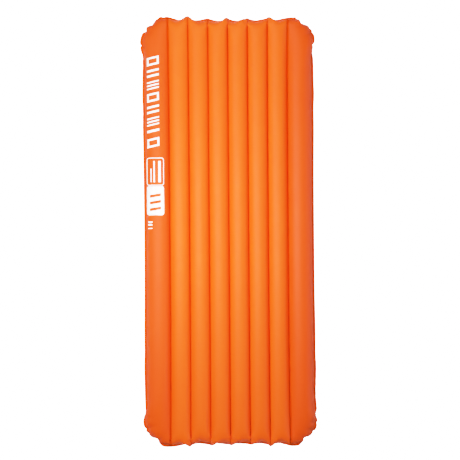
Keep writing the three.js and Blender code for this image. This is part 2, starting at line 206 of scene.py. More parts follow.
def start_shape(across, along):
    """A first guess at the inflated shape, as a height field over the contracted plan."""
    x, z = inflated_section(across)
    # an end rounds off as a quarter ellipse of this plan length; its arc for several heights
    rounding = 62.0
    angles = np.linspace(0, math.pi / 2, 200)
    heights = np.array([10, 20, 30, 40, 50, 60.0])
    lengths = []
    for height in heights:
        plan, rise = rounding * (1 - np.cos(angles)), height * np.sin(angles)
        steps = np.hypot(np.diff(plan), np.diff(rise))
        lengths.append(steps.sum())
        if height == 40:
            arc = np.concatenate([[0], np.cumsum(steps)])
    left = HALF_LENGTH - np.abs(along)
    length = np.interp(np.maximum(z, 12.0), heights, lengths)
    share = np.clip(left / length, 0, 1)
    angle = np.interp(share.ravel(), arc / arc[-1], angles).reshape(share.shape)
    rounded_y = HALF_LENGTH - length + rounding * np.cos(angle)
    y = np.where(left < length, rounded_y, np.abs(along))
    y = np.where(left < 0, HALF_LENGTH - length + rounding - left, y)
    end_z = z * np.where(left < 0, 0, np.sin(angle))
    # corners: the side tube's section turned about the corner's centre
    side, end = (np.abs(across) - SIDE_START) / SIDE_FLAT, (np.abs(along) - CORNER_V) / CORNER_LENGTH
    corner = (side > 0) & (end > 0)
    radius = np.hypot(side, end)
    turned_x, turned_z = inflated_section(SIDE_START + np.minimum(radius, 1) * SIDE_ARC)
    reach = turned_x - SIDE_IN + np.maximum(radius - 1, 0) * SIDE_FLAT
    cosine, sine = side / (radius + 1e-9), end / (radius + 1e-9)
    corner_x, corner_y = SIDE_IN + reach * cosine, CORNER_V + reach * 1.4 * sine
    corner_z = np.where(radius >= 1, 0, turned_z)
    # blended into the end's shape towards it
    w = np.clip(np.abs(sine), 0, 1) ** 3
    blended_x = (1 - w) * corner_x + w * np.minimum(np.abs(x), corner_x + 12)
    x = np.where(corner, np.sign(across) * blended_x, x)
    y = np.where(corner, (1 - w) * corner_y + w * y, y)
    end_z = np.where(corner, (1 - w) * corner_z + w * np.minimum(end_z, corner_z + 5), end_z)
    return x, np.sign(along) * y, end_z


def perimeter(n_rows, n_cols, inset=0):
    """(row, column) of the grid points round the edge of a grid, once round."""
    lo, top, right = inset, n_rows - 1 - inset, n_cols - 1 - inset
    return np.array([(lo, i) for i in range(lo, right)] + [(j, right) for j in range(lo, top)]
                    + [(top, i) for i in range(right, lo, -1)] + [(j, lo) for j in range(top, lo, -1)])


class Sheets:
    """Two grids of cloth points, top and bottom, with the constraints that hold them."""

    def __init__(self, cols, rows, fineness):
        self.rows, self.fineness = rows, fineness  # fineness: cells per coarse cell
        self.across, self.along = flat_pattern(cols, rows)
        self.flat = np.stack([self.across, self.along], -1).astype(np.float32)
        self.n_rows, self.n_cols = self.across.shape
        rim = fineness + 1
        self.weld = np.ones((self.n_rows, self.n_cols), bool)
        self.weld[rim:-rim, rim:-rim] = False
        self.weld_j, self.weld_i = np.nonzero(self.weld)
        inside = np.zeros((self.n_rows, self.n_cols), bool)
        inside[fineness:-fineness, fineness:-fineness] = True
        self.pressed = inside.astype(np.float32)
        self.seams = [int(np.argmin(np.abs(cols - k * FLAT_PITCH)))
                      for k in range(-LAST_SEAM, LAST_SEAM + 1)]
        # baffle welds, and how far they let the sheets part
        tied = np.array([c + o for c in self.seams for o in range(-fineness, fineness + 1)])
        tied_rows = np.nonzero(np.abs(rows) <= HALF_LENGTH - 4)[0]
        self.tie_j, self.tie_i = np.meshgrid(tied_rows, tied, indexing="ij")
        hold = np.clip((HALF_LENGTH - np.abs(rows[self.tie_j])) / TIE_END, 0, 1)
        self.tie = (2 * VALLEY * np.sqrt(hold)).astype(np.float32)
        self.batches = []
        for dj, di, pull, push in ((0, 1, 1.0, PUSH), (1, 0, 1.0, PUSH),
                                   (1, 1, 0.55, PUSH / 2), (1, -1, 0.55, PUSH / 2),
                                   (0, 2, 0.0, 0.05), (2, 0, 0.0, 0.05)):
            self.add_threads(dj, di, pull, push)
        self.add_rim_links()

    def add_threads(self, dj, di, pull, push):
        """All threads from (j, i) to (j + dj, i + di), in two sets that share no point."""
        step = abs(di) or dj
        first, last = (0, self.n_cols - di) if di >= 0 else (-di, self.n_cols)

        def pick(sel):
            return slice(sel[0], sel[-1] + 1, 2) if step == 1 else sel

        for half in range(2):
            sel = np.arange(first, last) if di else np.arange(0, self.n_rows - dj)
            sel = sel[((sel // step) % 2) == half]
            if di:
                start = (slice(0, self.n_rows - dj), pick(sel))
                stop = (slice(dj, self.n_rows), pick(sel + di))
            else:
                start, stop = (pick(sel), slice(first, last)), (pick(sel + dj), slice(first, last))
            rest = np.sqrt(((self.flat[stop] - self.flat[start]) ** 2).sum(-1)).astype(np.float32)
            self.batches.append((start, stop, rest, pull, push))

    def add_rim_links(self):
        """Stiffness of the welded edge: links between points a few places apart along it."""
        self.links = []
        for inset in (0, self.fineness):
            start = perimeter(self.n_rows, self.n_cols, inset)
            for gap in (2, 3):
                stop = np.roll(start, -gap * self.fineness, 0)
                span = self.flat[start[:, 0], start[:, 1]] - self.flat[stop[:, 0], stop[:, 1]]
                rest = np.sqrt((span ** 2).sum(-1)).astype(np.float32)
                self.links.append((start[:, 0], start[:, 1], stop[:, 0], stop[:, 1],
                                   rest, np.float32(0.16 / gap)))

    def run(self, X, steps, passes, pressure_start, pressure_end):
        """Moves points X[side, row, column, xyz] by pressure, with passes of constraints."""
        previous = X.copy()
        for step in range(steps):
            progress = step / max(1, steps - 1)
            pressure = pressure_start * (pressure_end / pressure_start) ** progress
            du, dv = np.zeros_like(X), np.zeros_like(X)
            du[:, :, 1:-1] = X[:, :, 2:] - X[:, :, :-2]
            dv[:, 1:-1] = X[:, 2:] - X[:, :-2]
            normal = np.cross(du, dv)
            normal[1] *= -1
            normal /= np.sqrt((normal ** 2).sum(-1, keepdims=True)) + 1e-9
            velocity = (X - previous) * (KEEP if progress < 0.7 else KEEP_LATE)
            previous[...] = X
            X += velocity + normal * (pressure * self.pressed[None, :, :, None])
            X[..., 2] -= X[0, self.weld_j, self.weld_i, 2].mean()
            X[..., 0] -= X[..., 0].mean()
            X[..., 1] -= X[..., 1].mean()
            for k in range(passes):
                self.pull_threads(X, self.batches if k % 2 == 0 else self.batches[::-1])
                self.hold_baffles(X)
                self.hold_rim(X)
                self.hold_apart(X)

    def pull_threads(self, X, batches):
        both = (slice(None),)
        for start, stop, rest, pull, push in batches:
            a, b = X[both + start], X[both + stop]
            d = b - a
            length = np.sqrt(np.einsum("...k,...k->...", d, d)) + 1e-9
            strain = (length - rest) / length
            strain *= np.where(strain > 0, 0.5 * pull * OVER_RELAX, 0.5 * push)
            d *= strain[..., None]
            X[both + start] = a + d
            X[both + stop] = b - d

    def hold_baffles(self, X):
        """The two sheets can't part by more than the web's height."""
        j, i = self.tie_j, self.tie_i
        upper, lower = X[0, j, i], X[1, j, i]
        d = upper - lower
        length = np.sqrt((d ** 2).sum(-1)) + 1e-9
        d *= (np.maximum(length - self.tie, 0) / length * 0.5)[..., None]
        X[0, j, i], X[1, j, i] = upper - d, lower + d

    def hold_rim(self, X):
        """The perimeter weld joins the sheets and is stiff along its length."""
        j, i = self.weld_j, self.weld_i
        middle = (X[0, j, i] + X[1, j, i]) / 2
        X[0, j, i], X[1, j, i] = middle, middle
        for aj, ai, bj, bi, rest, stiffness in self.links:
            d = X[0, bj, bi] - X[0, aj, ai]
            length = np.sqrt((d ** 2).sum(-1)) + 1e-9
            d *= (np.minimum(length - rest, 0) / length * stiffness)[:, None]
            X[:, aj, ai] += d
            X[:, bj, bi] -= d

    def hold_apart(self, X):
        """Contact between the sheets, and with the floor."""
        lift = np.maximum(SHEET_GAP - (X[0, ..., 2] - X[1, ..., 2]), 0) * 0.5
        lift[self.weld] = 0
        X[0, ..., 2] += lift
        X[1, ..., 2] -= lift
        np.maximum(X[1, ..., 2], -MID, out=X[1, ..., 2])


def refine(X):
    """Twice the grid, by a four-point rule in each direction."""
    for axis in (1, 2):
        X = np.moveaxis(X, axis, 0)
        n = X.shape[0]
        lo, hi = X[:-1], X[1:]
        before = np.concatenate([2 * X[:1] - X[1:2], X[:-2]])
        after = np.concatenate([X[2:], 2 * X[-1:] - X[-2:-1]])
        out = np.empty((2 * n - 1,) + X.shape[1:], X.dtype)
        out[0::2], out[1::2] = X, (9 * (lo + hi) - before - after) / 16
        X = np.moveaxis(out, 0, axis)
    return np.ascontiguousarray(X)


def inflate():
    cols, rows = grid_lines()
    coarse = Sheets(cols, rows, 1)
    x, y, z = start_shape(coarse.across, coarse.along)
    X = np.zeros((2, coarse.n_rows, coarse.n_cols, 3), np.float32)
    X[0], X[1] = np.stack([x, y, z], -1), np.stack([x, y, -z], -1)
    coarse.run(X, steps=110, passes=10,
               pressure_start=0.8, pressure_end=0.05)
    fine = Sheets(split(cols, 2), split(rows, 2), 2)
    X = refine(X)
    fine.run(X, steps=22, passes=8,
             pressure_start=0.12, pressure_end=0.02)
    return fine, X


cloth, points = inflate()
points = points.astype(float)  # [side, row, column, xyz], side 0 the top sheet and 1 the bottom
points[..., 2] += MID


# ------------------------------------------------------------------ straight seams and end welds
# End +1 is at +Y. For each end: where the weld lies at the seven seams (mm from mid-length), then
# how far it draws in over each of the six tubes, and how far across the tube that happens.
ENDS = {
    1: ([973.5, 970.0, 965.5, 963.0, 964.0, 964.5, 965.5],
        [11.5, 11.5, 11.0, 11.0, 9.5, 10.0],
        [0.56, 0.41, 0.50, 0.50, 0.41, 0.36]),
    -1: ([978.0, 973.0, 971.0, 970.5, 969.5, 973.0, 978.0],
         [7.5, 9.0, 7.5, 6.5, 6.5, 10.0],
         [0.74, 0.37, 0.26, 0.28, 0.40, 0.42]),
}


def even_seams():
    """Eases every row sideways until its seams are at an even pitch, its two ends staying put."""
    places = [0] + cloth.seams + [cloth.n_cols - 1]
    for j in range(cloth.n_rows):
        pitch = 89.3 + 0.9 * (abs(cloth.rows[j]) / 900) ** 4
        for side in (0, 1):
            xs = points[side, j, :, 0]
            old = xs[places]
            new = np.concatenate([[xs[0]], pitch * np.arange(-3, 4), [xs[-1]]])
            points[side, j, :, 0] = xs + np.interp(np.arange(len(xs)), places, new - old)


def straighten_sides():
    """Draws the sides in by up to 5.5 mm, so that they run straight past the corners' start."""
    x = points[..., 0]
    from_start = (np.abs(points[..., 1]) - 615) / 105
    inward = 5.5 * np.exp(-from_start ** 2) * np.clip((np.abs(x) - 285) / 95, 0, 1)
    points[..., 0] -= np.sign(x) * inward


def shape_end(end, stand, draw, where):
    """Moves an end weld to its measured line; the move fades inwards over about 52 mm."""
    row = cloth.n_rows - 1 if end > 0 else 0
    weld_x, weld_y = points[0, row, :, 0], points[0, row, :, 1]
    seam_x = weld_x[cloth.seams]
    want = np.interp(weld_x, seam_x, stand)
    for k in range(6):
        t = np.clip((weld_x - seam_x[k]) / (seam_x[k + 1] - seam_x[k]), 0, 1)
        skewed = t ** (math.log(0.5) / math.log(where[k]))
        want -= draw[k] * (1 - np.abs(2 * skewed - 1) ** 1.25)
    for _ in range(5):
        want[1:-1] = (want[:-2] + 2 * want[1:-1] + want[2:]) / 4
    move = end * want - weld_y
    beyond = np.maximum(np.abs(weld_x) - np.abs(seam_x[[0, -1]]).min(), 0)
    move *= 1 - smooth(beyond / 62)
    middle = len(move) // 2
    move[np.abs(np.arange(len(move)) - middle) > cloth.seams[-1] + 60 - middle] = 0
    other_half = 1e9 * (np.sign(cloth.rows) != end)[:, None]
    back = np.maximum(np.abs(cloth.along[row])[None, :] - np.abs(cloth.along), 0) + other_half
    points[..., 1] += move[None, None, :] * np.exp(-((back / 52) ** 1.6))[None]


even_seams()
straighten_sides()
for end, lines in ENDS.items():
    shape_end(end, *lines)


# ------------------------------------------------------------------ puckers, grooves, gathers
# The spare length of the welded edge gathers into small puckers over each tube's end and round
# each corner. Each is a nick in the edge with a crease running in from it. In mm: where it is,
# how deep the nick is (negative swells out), how deep the crease, how wide and how long.
#            x       y     nick  crease width reach
PUCKERS = [
    (-386.0, 843.0, 7.0, 5.0, 6.5, 34.0), (-371.0, 911.0, 4.0, 5.0, 7.0, 40.0),
    (-344.0, 941.0, -1.0, 4.0, 9.0, 42.0), (-290.0, 973.0, 4.5, 4.5, 6.0, 34.0),
    (384.0, 818.0, 5.0, 4.0, 6.0, 30.0), (376.0, 895.0, 5.5, 5.0, 6.5, 38.0),
    (349.0, 934.0, 4.0, 5.5, 7.0, 42.0), (300.0, 964.0, 4.0, 4.0, 8.0, 32.0),
    (-384.0, -844.0, 5.5, 5.0, 6.0, 36.0), (-376.0, -893.0, 6.0, 6.0, 6.5, 42.0),
    (-320.0, -947.0, 6.5, 6.0, 7.0, 44.0), (-330.0, 940.0, -9.0, 0.0, 9.0, 30.0),
    (-318.0, 966.0, 5.5, 1.0, 8.0, 30.0), (314.0, 963.0, 9.0, 1.0, 9.0, 30.0),
    (-377.0, -804.0, -7.0, 0.0, 24.0, 44.0), (379.0, -838.0, -9.5, 0.0, 11.0, 34.0),
    (382.0, -871.0, 5.0, 5.0, 6.0, 34.0), (368.0, -902.0, 5.5, 5.5, 6.5, 40.0),
    (333.0, -941.0, 6.0, 6.0, 7.0, 44.0),
]
PUCKER_END = 972.0  # mm from mid-length to the end welds' puckers
GROOVE = 4.0  # depth of the groove along a seam
OUTER_OFFSET = 0.32  # from the simulated sheet to its modelled outer face
REST_HEIGHT = 0.36  # of the lowest simulated point
EDGE = perimeter(cloth.n_rows, cloth.n_cols)
rng = np.random.RandomState(23)


def end_puckers():
    """One or two small puckers over each of the six tubes, at both ends."""
    found = []
    for k in range(-3, 3):
        for end in (1, -1):
            x = (k + 0.5) * PITCH + rng.uniform(-7, 7)
            nick = 0.8 + rng.uniform(0, 0.8)
            crease = 3.2 + rng.uniform(0, 1.6) + (1.2 if end < 0 else 0)
            found.append((x, end * PUCKER_END, nick, crease, 5.0, 24.0 + rng.uniform(0, 10)))
            if end < 0 or rng.uniform() < 0.5:
                x += rng.choice([-1, 1]) * rng.uniform(17, 26)
                found.append((x, end * PUCKER_END, 0.8, 2.6, 4.0, 20.0))
    return found


def along_and_inward(start, stop, at):
    """Unit vector from start to stop, and the one square to it that points inward from `at`."""
    tangent = stop - start
    tangent /= np.linalg.norm(tangent)
    inward = np.array([-tangent[1], tangent[0]])
    inward *= -np.sign(inward @ at)
    return tangent, inward


def pucker(x, y, depth, drop, width, reach):
    rim = points[0][tuple(EDGE.T)]
    k = int(np.argmin(np.hypot(rim[:, 0] - x, rim[:, 1] - y)))
    at, before, after = (tuple(EDGE[(k + o) % len(EDGE)]) for o in (0, -5, 5))
    origin = cloth.flat[at].astype(float)
    tangent, inward = along_and_inward(cloth.flat[before], cloth.flat[after].astype(float), origin)
    plan = points[0, ..., :2]
    _, plan_inward = along_and_inward(plan[before], plan[after], plan[at])
    rel = cloth.flat - origin
    beside, depth_in = np.abs(rel @ tangent), np.maximum(rel @ inward, 0)
    near = (beside < 7 * width) & (depth_in < 3 * reach) & (rel @ inward > -25)
    nick = np.exp(-(beside / width) ** 1.25) * np.exp(-depth_in / (0.45 * reach)) * near
    points[:, :, :, :2] += (depth * nick)[None, :, :, None] * plan_inward
    # the crease widens inwards, with a low ridge on either side
    q = beside / (width * (0.75 + 0.8 * depth_in / reach))
    crease = np.exp(-q ** 1.3) - 0.30 * np.exp(-(((q - 2.2) / 0.8) ** 2))
    crease = crease * np.exp(-((depth_in / reach) ** 1.6)) * near
    rise = np.clip((depth_in - WELD * 0.9) / 10, 0, 1)
    points[0, :, :, 2] -= drop * crease * rise
    points[1, :, :, 2] += drop * crease * rise
    # the welded edge itself tips up or down at a nick
    tip = 0.35 * depth * np.sign(math.sin(x * 0.37 + y))
    fade = np.exp(-(beside / (1.6 * width)) ** 2) * np.exp(-depth_in / 9) * near
    points[:, :, :, 2] += (tip * fade)[None]


def press_grooves():
    """The baffle welds gather the cloth into a narrow groove."""
    fade = np.clip((HALF_LENGTH - 6 - np.abs(cloth.rows)) / 20, 0, 1)
    for seam in cloth.seams:
        for offset, dip in ((0, GROOVE), (1, GROOVE * 0.8), (2, GROOVE * 0.36)):
            for col in {seam - offset, seam + offset}:
                points[0, :, col, 2] -= dip * fade
                points[1, :, col, 2] += dip * fade * 0.5


def add_gather():
    """A small slanting fold, with a ridge behind it, where the cloth was caught by a seam."""
    col = cloth.seams[rng.randint(0, 7)] + int(rng.choice([-1, 1])) * 5
    y, tilt = rng.uniform(-880, 880), rng.uniform(-0.8, 0.8)
    x = points[0, np.argmin(np.abs(points[0, :, col, 1] - y)), col, 0]
    dx, dy = points[0, ..., 0] - x, points[0, ..., 1] - y
    slant = dy - tilt * dx
    dent = np.exp(-(slant / 3.6) ** 2 - (dx / 9.0) ** 2)
    ridge = np.exp(-((slant - 6.5) / 3.6) ** 2 - (dx / 9.0) ** 2)
    points[0, ..., 2] -= rng.uniform(0.5, 1.1) * (dent - 0.5 * ridge)


for spec in PUCKERS + end_puckers():
    pucker(*spec)
press_grooves()
for _ in range(26):
    add_gather()
overlap = np.maximum(0.8 - (points[0, ..., 2] - points[1, ..., 2]), 0) * 0.5 * ~cloth.weld
points[0, ..., 2] += overlap
points[1, ..., 2] -= overlap
points[..., 2] += REST_HEIGHT - points[..., 2].min()


# ------------------------------------------------------------------ the cloth at the valve
# The valve's frame, mm: origin on the fabric's outer face, VALVE_OUT (local z) out of the pad,
# VALVE_UP (local x) up the flank, VALVE_FOOT (local y) towards -Y.
VALVE_TILT = math.radians(58)
VALVE_OUT = np.array([math.sin(VALVE_TILT), 0, -math.cos(VALVE_TILT)])
VALVE_UP = np.array([math.cos(VALVE_TILT), 0, math.sin(VALVE_TILT)])
VALVE_FOOT = np.array([0.0, -1.0, 0.0])
FLAT_RADIUS = 26.0  # of the flattened patch, which sets the valve in from the tube's surface
VALVE_ORIGIN = (np.array([SIDE_AXIS, -800.0, MID])
                + math.sqrt(SIDE_R ** 2 - FLAT_RADIUS ** 2) * VALVE_OUT)


def stretch_over_flange():
    """The fabric is stretched flat over the valve's flange."""
    rel = points[1] - VALVE_ORIGIN
    local_x, local_y, local_z = rel @ VALVE_UP, rel @ VALVE_FOOT, rel @ VALVE_OUT
    radius = np.hypot(local_x, local_y)
    free = smooth((radius - 24) / 7)
    target = free * np.minimum(local_z, -OUTER_OFFSET) + (1 - free) * -OUTER_OFFSET
    w = (1 - smooth((np.abs(local_y) - 27) / 24)) * (np.abs(local_z) < 30) * (radius < 60)
    inner = ~cloth.weld
    points[1][inner] += (w * (target - local_z))[inner, None] * VALVE_OUT


def grid_normals(P, outward):
    du, dv = np.empty_like(P), np.empty_like(P)
    du[:, 1:-1], du[:, 0], du[:, -1] = P[:, 2:] - P[:, :-2], P[:, 1] - P[:, 0], P[:, -1] - P[:, -2]
    dv[1:-1], dv[0], dv[-1] = P[2:] - P[:-2], P[1] - P[0], P[-1] - P[-2]
    normal = np.cross(du, dv)
    normal /= np.linalg.norm(normal, axis=-1, keepdims=True) + 1e-9
    return normal * outward


def sheet_normals():
    """Normals of both sheets; on the weld they share one smoothed direction."""
    normals = [grid_normals(points[0], 1), grid_normals(points[1], -1)]
    both = normals[0] - normals[1]
    for _ in range(4):
        both[1:-1, 1:-1] = (both[1:-1, 1:-1] * 2 + both[2:, 1:-1] + both[:-2, 1:-1]
                            + both[1:-1, 2:] + both[1:-1, :-2]) / 6
    both /= np.linalg.norm(both, axis=-1, keepdims=True) + 1e-9
    normals[0][cloth.weld], normals[1][cloth.weld] = both[cloth.weld], -both[cloth.weld]
    return normals


stretch_over_flange()
normals = sheet_normals()


# ------------------------------------------------------------------ mesh helpers
def link_object(name, me):
    o = bpy.data.objects.new(name, me)
    bpy.context.scene.collection.objects.link(o)
    return o


def mesh_object(name, verts, faces, shade_smooth=True, recalc=False):
    me = bpy.data.meshes.new(name)
    me.from_pydata([tuple(v) for v in verts], [], [tuple(int(i) for i in f) for f in faces])
    me.validate()
    if shade_smooth:
        me.polygons.foreach_set("use_smooth", [True] * len(me.polygons))
    if recalc:
        bm = bmesh.new()
        bm.from_mesh(me)
        bmesh.ops.recalc_face_normals(bm, faces=bm.faces)
        bm.to_mesh(me)
        bm.free()
    return link_object(name, me)


def boolean(o, other, operation):
    modifier = o.modifiers.new("boolean", "BOOLEAN")
    modifier.object, modifier.operation, modifier.solver = other, operation, "MANIFOLD"


def apply_modifiers(o):
    graph = bpy.context.evaluated_depsgraph_get()
    me = bpy.data.meshes.new_from_object(o.evaluated_get(graph), preserve_all_data_layers=True,
                                         depsgraph=graph)
    o.modifiers.clear()
    old = o.data
    o.data = me
    bpy.data.meshes.remove(old)


def reset_materials(me):
    me.materials.clear()
    me.polygons.foreach_set("material_index", [0] * len(me.polygons))


# ------------------------------------------------------------------ the two sheets
FILM = 0.25  # each sheet's modelled thickness, mm


def sheet_object(name, side):
    n_rows, n_cols = cloth.n_rows, cloth.n_cols
    outer = points[side] + normals[side] * OUTER_OFFSET
    inner = outer - normals[side] * FILM
    verts = np.concatenate([outer.reshape(-1, 3), inner.reshape(-1, 3)]) / 1000
    count = n_rows * n_cols
    j, i = np.meshgrid(np.arange(n_rows - 1), np.arange(n_cols - 1), indexing="ij")
    a = (j * n_cols + i).ravel()
    outside = np.stack([a, a + 1, a + n_cols + 1, a + n_cols], 1)
    loop = EDGE @ (n_cols, 1)
    after = np.roll(loop, -1)
    rim = np.stack([after, loop, loop + count, after + count], 1)
    if side == 1:
        outside, rim = outside[:, ::-1], rim[:, ::-1]
    faces = np.concatenate([outside, outside[:, ::-1] + count, rim])
    me = bpy.data.meshes.new(name)
    me.vertices.add(len(verts))
    me.vertices.foreach_set("co", verts.astype(np.float32).ravel())
    me.loops.add(faces.size)
    me.loops.foreach_set("vertex_index", faces.astype(np.int32).ravel())
    me.polygons.add(len(faces))
    me.polygons.foreach_set("loop_start", np.arange(0, faces.size, 4, dtype=np.int32))
    me.polygons.foreach_set("use_smooth", np.ones(len(faces), bool))
    me.update(calc_edges=True)
    # flat-pattern coordinates in metres, and which points are welded
    uv = me.uv_layers.new(name="pattern")
    flat = np.stack([cloth.across.ravel(), cloth.along.ravel()], 1) / 1000
    flat = np.concatenate([flat, flat])
    uv.data.foreach_set("uv", flat[faces.ravel()].astype(np.float32).ravel())
    weld = cloth.weld.astype(float)
    for c in cloth.seams:
        weld[:, c - cloth.fineness : c + cloth.fineness + 1] = 1.0
    attribute = me.attributes.new("weld", "FLOAT", "POINT")
    weld = np.concatenate([weld.ravel(), weld.ravel()])
    attribute.data.foreach_set("value", weld.astype(np.float32))
    me.validate()
    return link_object(name, me)


top = sheet_object("top_sheet", 0)
bottom = sheet_object("bottom_sheet", 1)


# ------------------------------------------------------------------ valve: tools
def lathe(name, profile, segments=96, closed=True):
    """A turned body from (radius, height) points in mm, in the valve's own frame."""
    verts, faces, rings = [], [], []
    for radius, z in profile:
        if radius < 1e-6:
            rings.append([len(verts)] * segments)
            verts.append((0, 0, z))
        else:
            rings.append(list(range(len(verts), len(verts) + segments)))
            turns = [2 * math.pi * i / segments for i in range(segments)]
            verts += [(radius * math.cos(turn), radius * math.sin(turn), z) for turn in turns]
    pairs = list(zip(rings, rings[1:])) + ([(rings[-1], rings[0])] if closed else [])
    for ring, following in pairs:
        for i in range(segments):
            k = (i + 1) % segments
            # a point on the axis is met twice and used once
            face = list(dict.fromkeys((ring[i], ring[k], following[k], following[i])))
            if len(face) > 2:
                faces.append(face)
    return mesh_object(name, verts, faces, shade_smooth=False, recalc=True)


def fillet(profile, radius=0.28):
    """Rounds the corners of a closed (radius, height) outline."""
    out, n = [], len(profile)
    for i in range(n):
        before, corner, after = (np.array(profile[(i + d) % n], float) for d in (-1, 0, 1))
        if corner[0] < 1e-6:
            out.append(tuple(corner))
            continue
        a, b = before - corner, after - corner
        len_a, len_b = np.linalg.norm(a), np.linalg.norm(b)
        cut = min(radius, 0.4 * len_a, 0.4 * len_b)
        start, stop = corner + a / len_a * cut, corner + b / len_b * cut
        for t in (0, 0.25, 0.5, 0.75, 1):
            out.append(tuple((1 - t) ** 2 * start + 2 * t * (1 - t) * corner + t * t * stop))
    return out


def brick(x0, x1, y0, y1, z0, z1, radius=0.28):
    bm = bmesh.new()
    bmesh.ops.create_cube(bm, size=1.0)
    for v in bm.verts:
        v.co = Vector(((x0 + x1) / 2 + v.co.x * (x1 - x0), (y0 + y1) / 2 + v.co.y * (y1 - y0),
                       (z0 + z1) / 2 + v.co.z * (z1 - z0)))
    bmesh.ops.bevel(bm, geom=bm.edges[:], offset=radius, segments=3, affect="EDGES", profile=0.5)
    me = bpy.data.meshes.new("brick")
    bm.to_mesh(me)
    bm.free()
    return link_object("brick", me)


def union(o, others):
    for other in others:
        boolean(o, other, "UNION")
    apply_modifiers(o)
    for other in others:
        bpy.data.objects.remove(other)
    return o


def ribbon(name, path, half_width, thickness, across):
    """A bent strip of even thickness; its width lies along local x or y, as `across` says, and
    the path holds the other of the two and z."""
    path = np.array(path, float)
    for _ in range(3):  # corner cutting
        cut = [path[0]]
        for a, b in zip(path[:-1], path[1:]):
            cut += [0.75 * a + 0.25 * b, 0.25 * a + 0.75 * b]
        path = np.array(cut + [path[-1]])
    tangents = np.gradient(path, axis=0)
    tangents /= np.linalg.norm(tangents, axis=1, keepdims=True)
    square = np.stack([-tangents[:, 1], tangents[:, 0]], 1)
    # (place across the width, share of the thickness) round the strip's section
    section = [(half_width - 0.5, 0.5), (half_width - 0.15, 0.36), (half_width, 0),
               (half_width - 0.15, -0.36), (half_width - 0.5, -0.5)]
    section = section + [(-a, b) for a, b in section[::-1]]
    verts, faces = [], []
    for place, normal in zip(path, square):
        for a, b in section:
            q = place + normal * b * thickness
            verts.append((q[0], a, q[1]) if across == "y" else (a, q[0], q[1]))
    m, last = len(section), len(path) - 1
    for i in range(last):
        for k in range(m):
            k2 = (k + 1) % m
            faces.append((i * m + k, i * m + k2, (i + 1) * m + k2, (i + 1) * m + k))
    faces += [tuple(range(m)), tuple(range(last * m, len(path) * m))[::-1]]
    return mesh_object(name, verts, faces, shade_smooth=False, recalc=True)


def to_pad(o):
    """From the valve's frame in mm to the pad's frame in metres."""
    place = Matrix([*zip(VALVE_UP, VALVE_FOOT, VALVE_OUT, VALVE_ORIGIN), (0, 0, 0, 1)])
    o.data.transform(Matrix.Scale(0.001, 4) @ place)
    return o


def valve_point(x, y, z):
    return tuple((VALVE_ORIGIN + x * VALVE_UP + y * VALVE_FOOT + z * VALVE_OUT) / 1000)


def finish_piece(o, name):
    o.name = name
    to_pad(o)
    reset_materials(o.data)
    o.data.polygons.foreach_set("use_smooth", [True] * len(o.data.polygons))
    o.data.set_sharp_from_angle(angle=math.radians(38))


# ------------------------------------------------------------------ valve: pieces
# Outlines are (radius, height) in mm; bricks are x0, x1, y0, y1, z0, z1.
COLLAR_R = 18.0  # outside of the base ring's collar
HOLE_R = COLLAR_R + 0.3


def cut_valve_hole():
    """The hole in the bottom sheet that the valve's collar passes through."""
    cutter = to_pad(lathe("cutter", [(0, -8), (HOLE_R, -8), (HOLE_R, 8), (0, 8)], 64, closed=False))
    boolean(bottom, cutter, "DIFFERENCE")
    apply_modifiers(bottom)
    bpy.data.objects.remove(cutter)
    reset_materials(bottom.data)


def valve_base():
    """Collar with a flange inside the fabric."""
    return lathe("v_base", fillet([
        (16.4, -7.5), (COLLAR_R, -7.5), (COLLAR_R, -2.1), (25.0, -2.1), (25.0, -0.9),
        (COLLAR_R, -0.9), (COLLAR_R, 2.2), (16.4, 2.2)]))


def valve_seat():
    """Lipped ring in the collar, with a lug on the strap's side."""
    ring = lathe("v_seat", fillet([
        (14.6, -6.9), (16.1, -6.9), (16.1, 2.5), (19.0, 2.5), (19.0, 4.0), (14.6, 4.0)]))
    return union(ring, [brick(17.5, 20.6, -5, 5, 2.55, 3.95)])


def deflate_lid():
    """Ring lid with a spoked hub, a strap lug and a ribbed thumb tab."""
    hub = lathe("hub", fillet([(1.4, -1.6), (2.8, -1.6), (2.8, 0.0), (1.4, 0.0)], 0.15), 48)
    parts = [hub, brick(18.2, 21.1, -4, 4, 5.35, 6.55), brick(-22.0, -18.2, -5.5, 5.5, 5.35, 6.55)]
    for degrees in (30, 150, 270):
        spoke = brick(2.2, 8.6, -0.8, 0.8, -1.55, -0.45, 0.2)
        spoke.data.transform(Matrix.Rotation(math.radians(degrees), 4, "Z"))
        parts.append(spoke)
    # raised lines on the thumb tab, and a raised ring on the plate
    for y in (-3.2, -1.1, 1.1, 3.2):
        parts.append(brick(-21.4, -19.4, y - 0.35, y + 0.35, 6.3, 6.95, 0.16))
    ring = fillet([(16.6, 6.3), (17.5, 6.3), (17.5, 6.95), (16.6, 6.95)], 0.2)
    parts.append(lathe("ring", ring))
    return union(lathe("v_lid", fillet([
        (8.0, -1.6), (10.6, -1.6), (10.6, 5.3), (12.2, 5.3), (12.2, -3.0), (13.2, -3.0),
        (13.9, 5.3), (19.0, 5.3), (19.0, 6.6), (10.6, 6.6), (10.6, 7.0), (9.4, 7.0),
        (9.4, -0.4), (8.0, -0.4)])), parts)


def deflate_seal():
    return lathe("v_lid_seal", fillet([(15.4, 4.25), (18.4, 4.25), (18.4, 5.0), (15.4, 5.0)]))


def check_flap():
    return lathe("v_flap", fillet([(1.5, -2.7), (9.0, -2.7), (9.0, -2.0), (1.5, -2.0)], 0.2))


def release_button():
    """Stem through the hub, with a foot under the flap and a head on top."""
    return lathe("v_button", fillet([
        (0, -3.9), (2.2, -3.9), (2.2, -3.0), (1.0, -3.0), (1.0, 2.6), (3.0, 2.6), (3.0, 3.8),
        (0, 3.8)], 0.3), 48, closed=False)


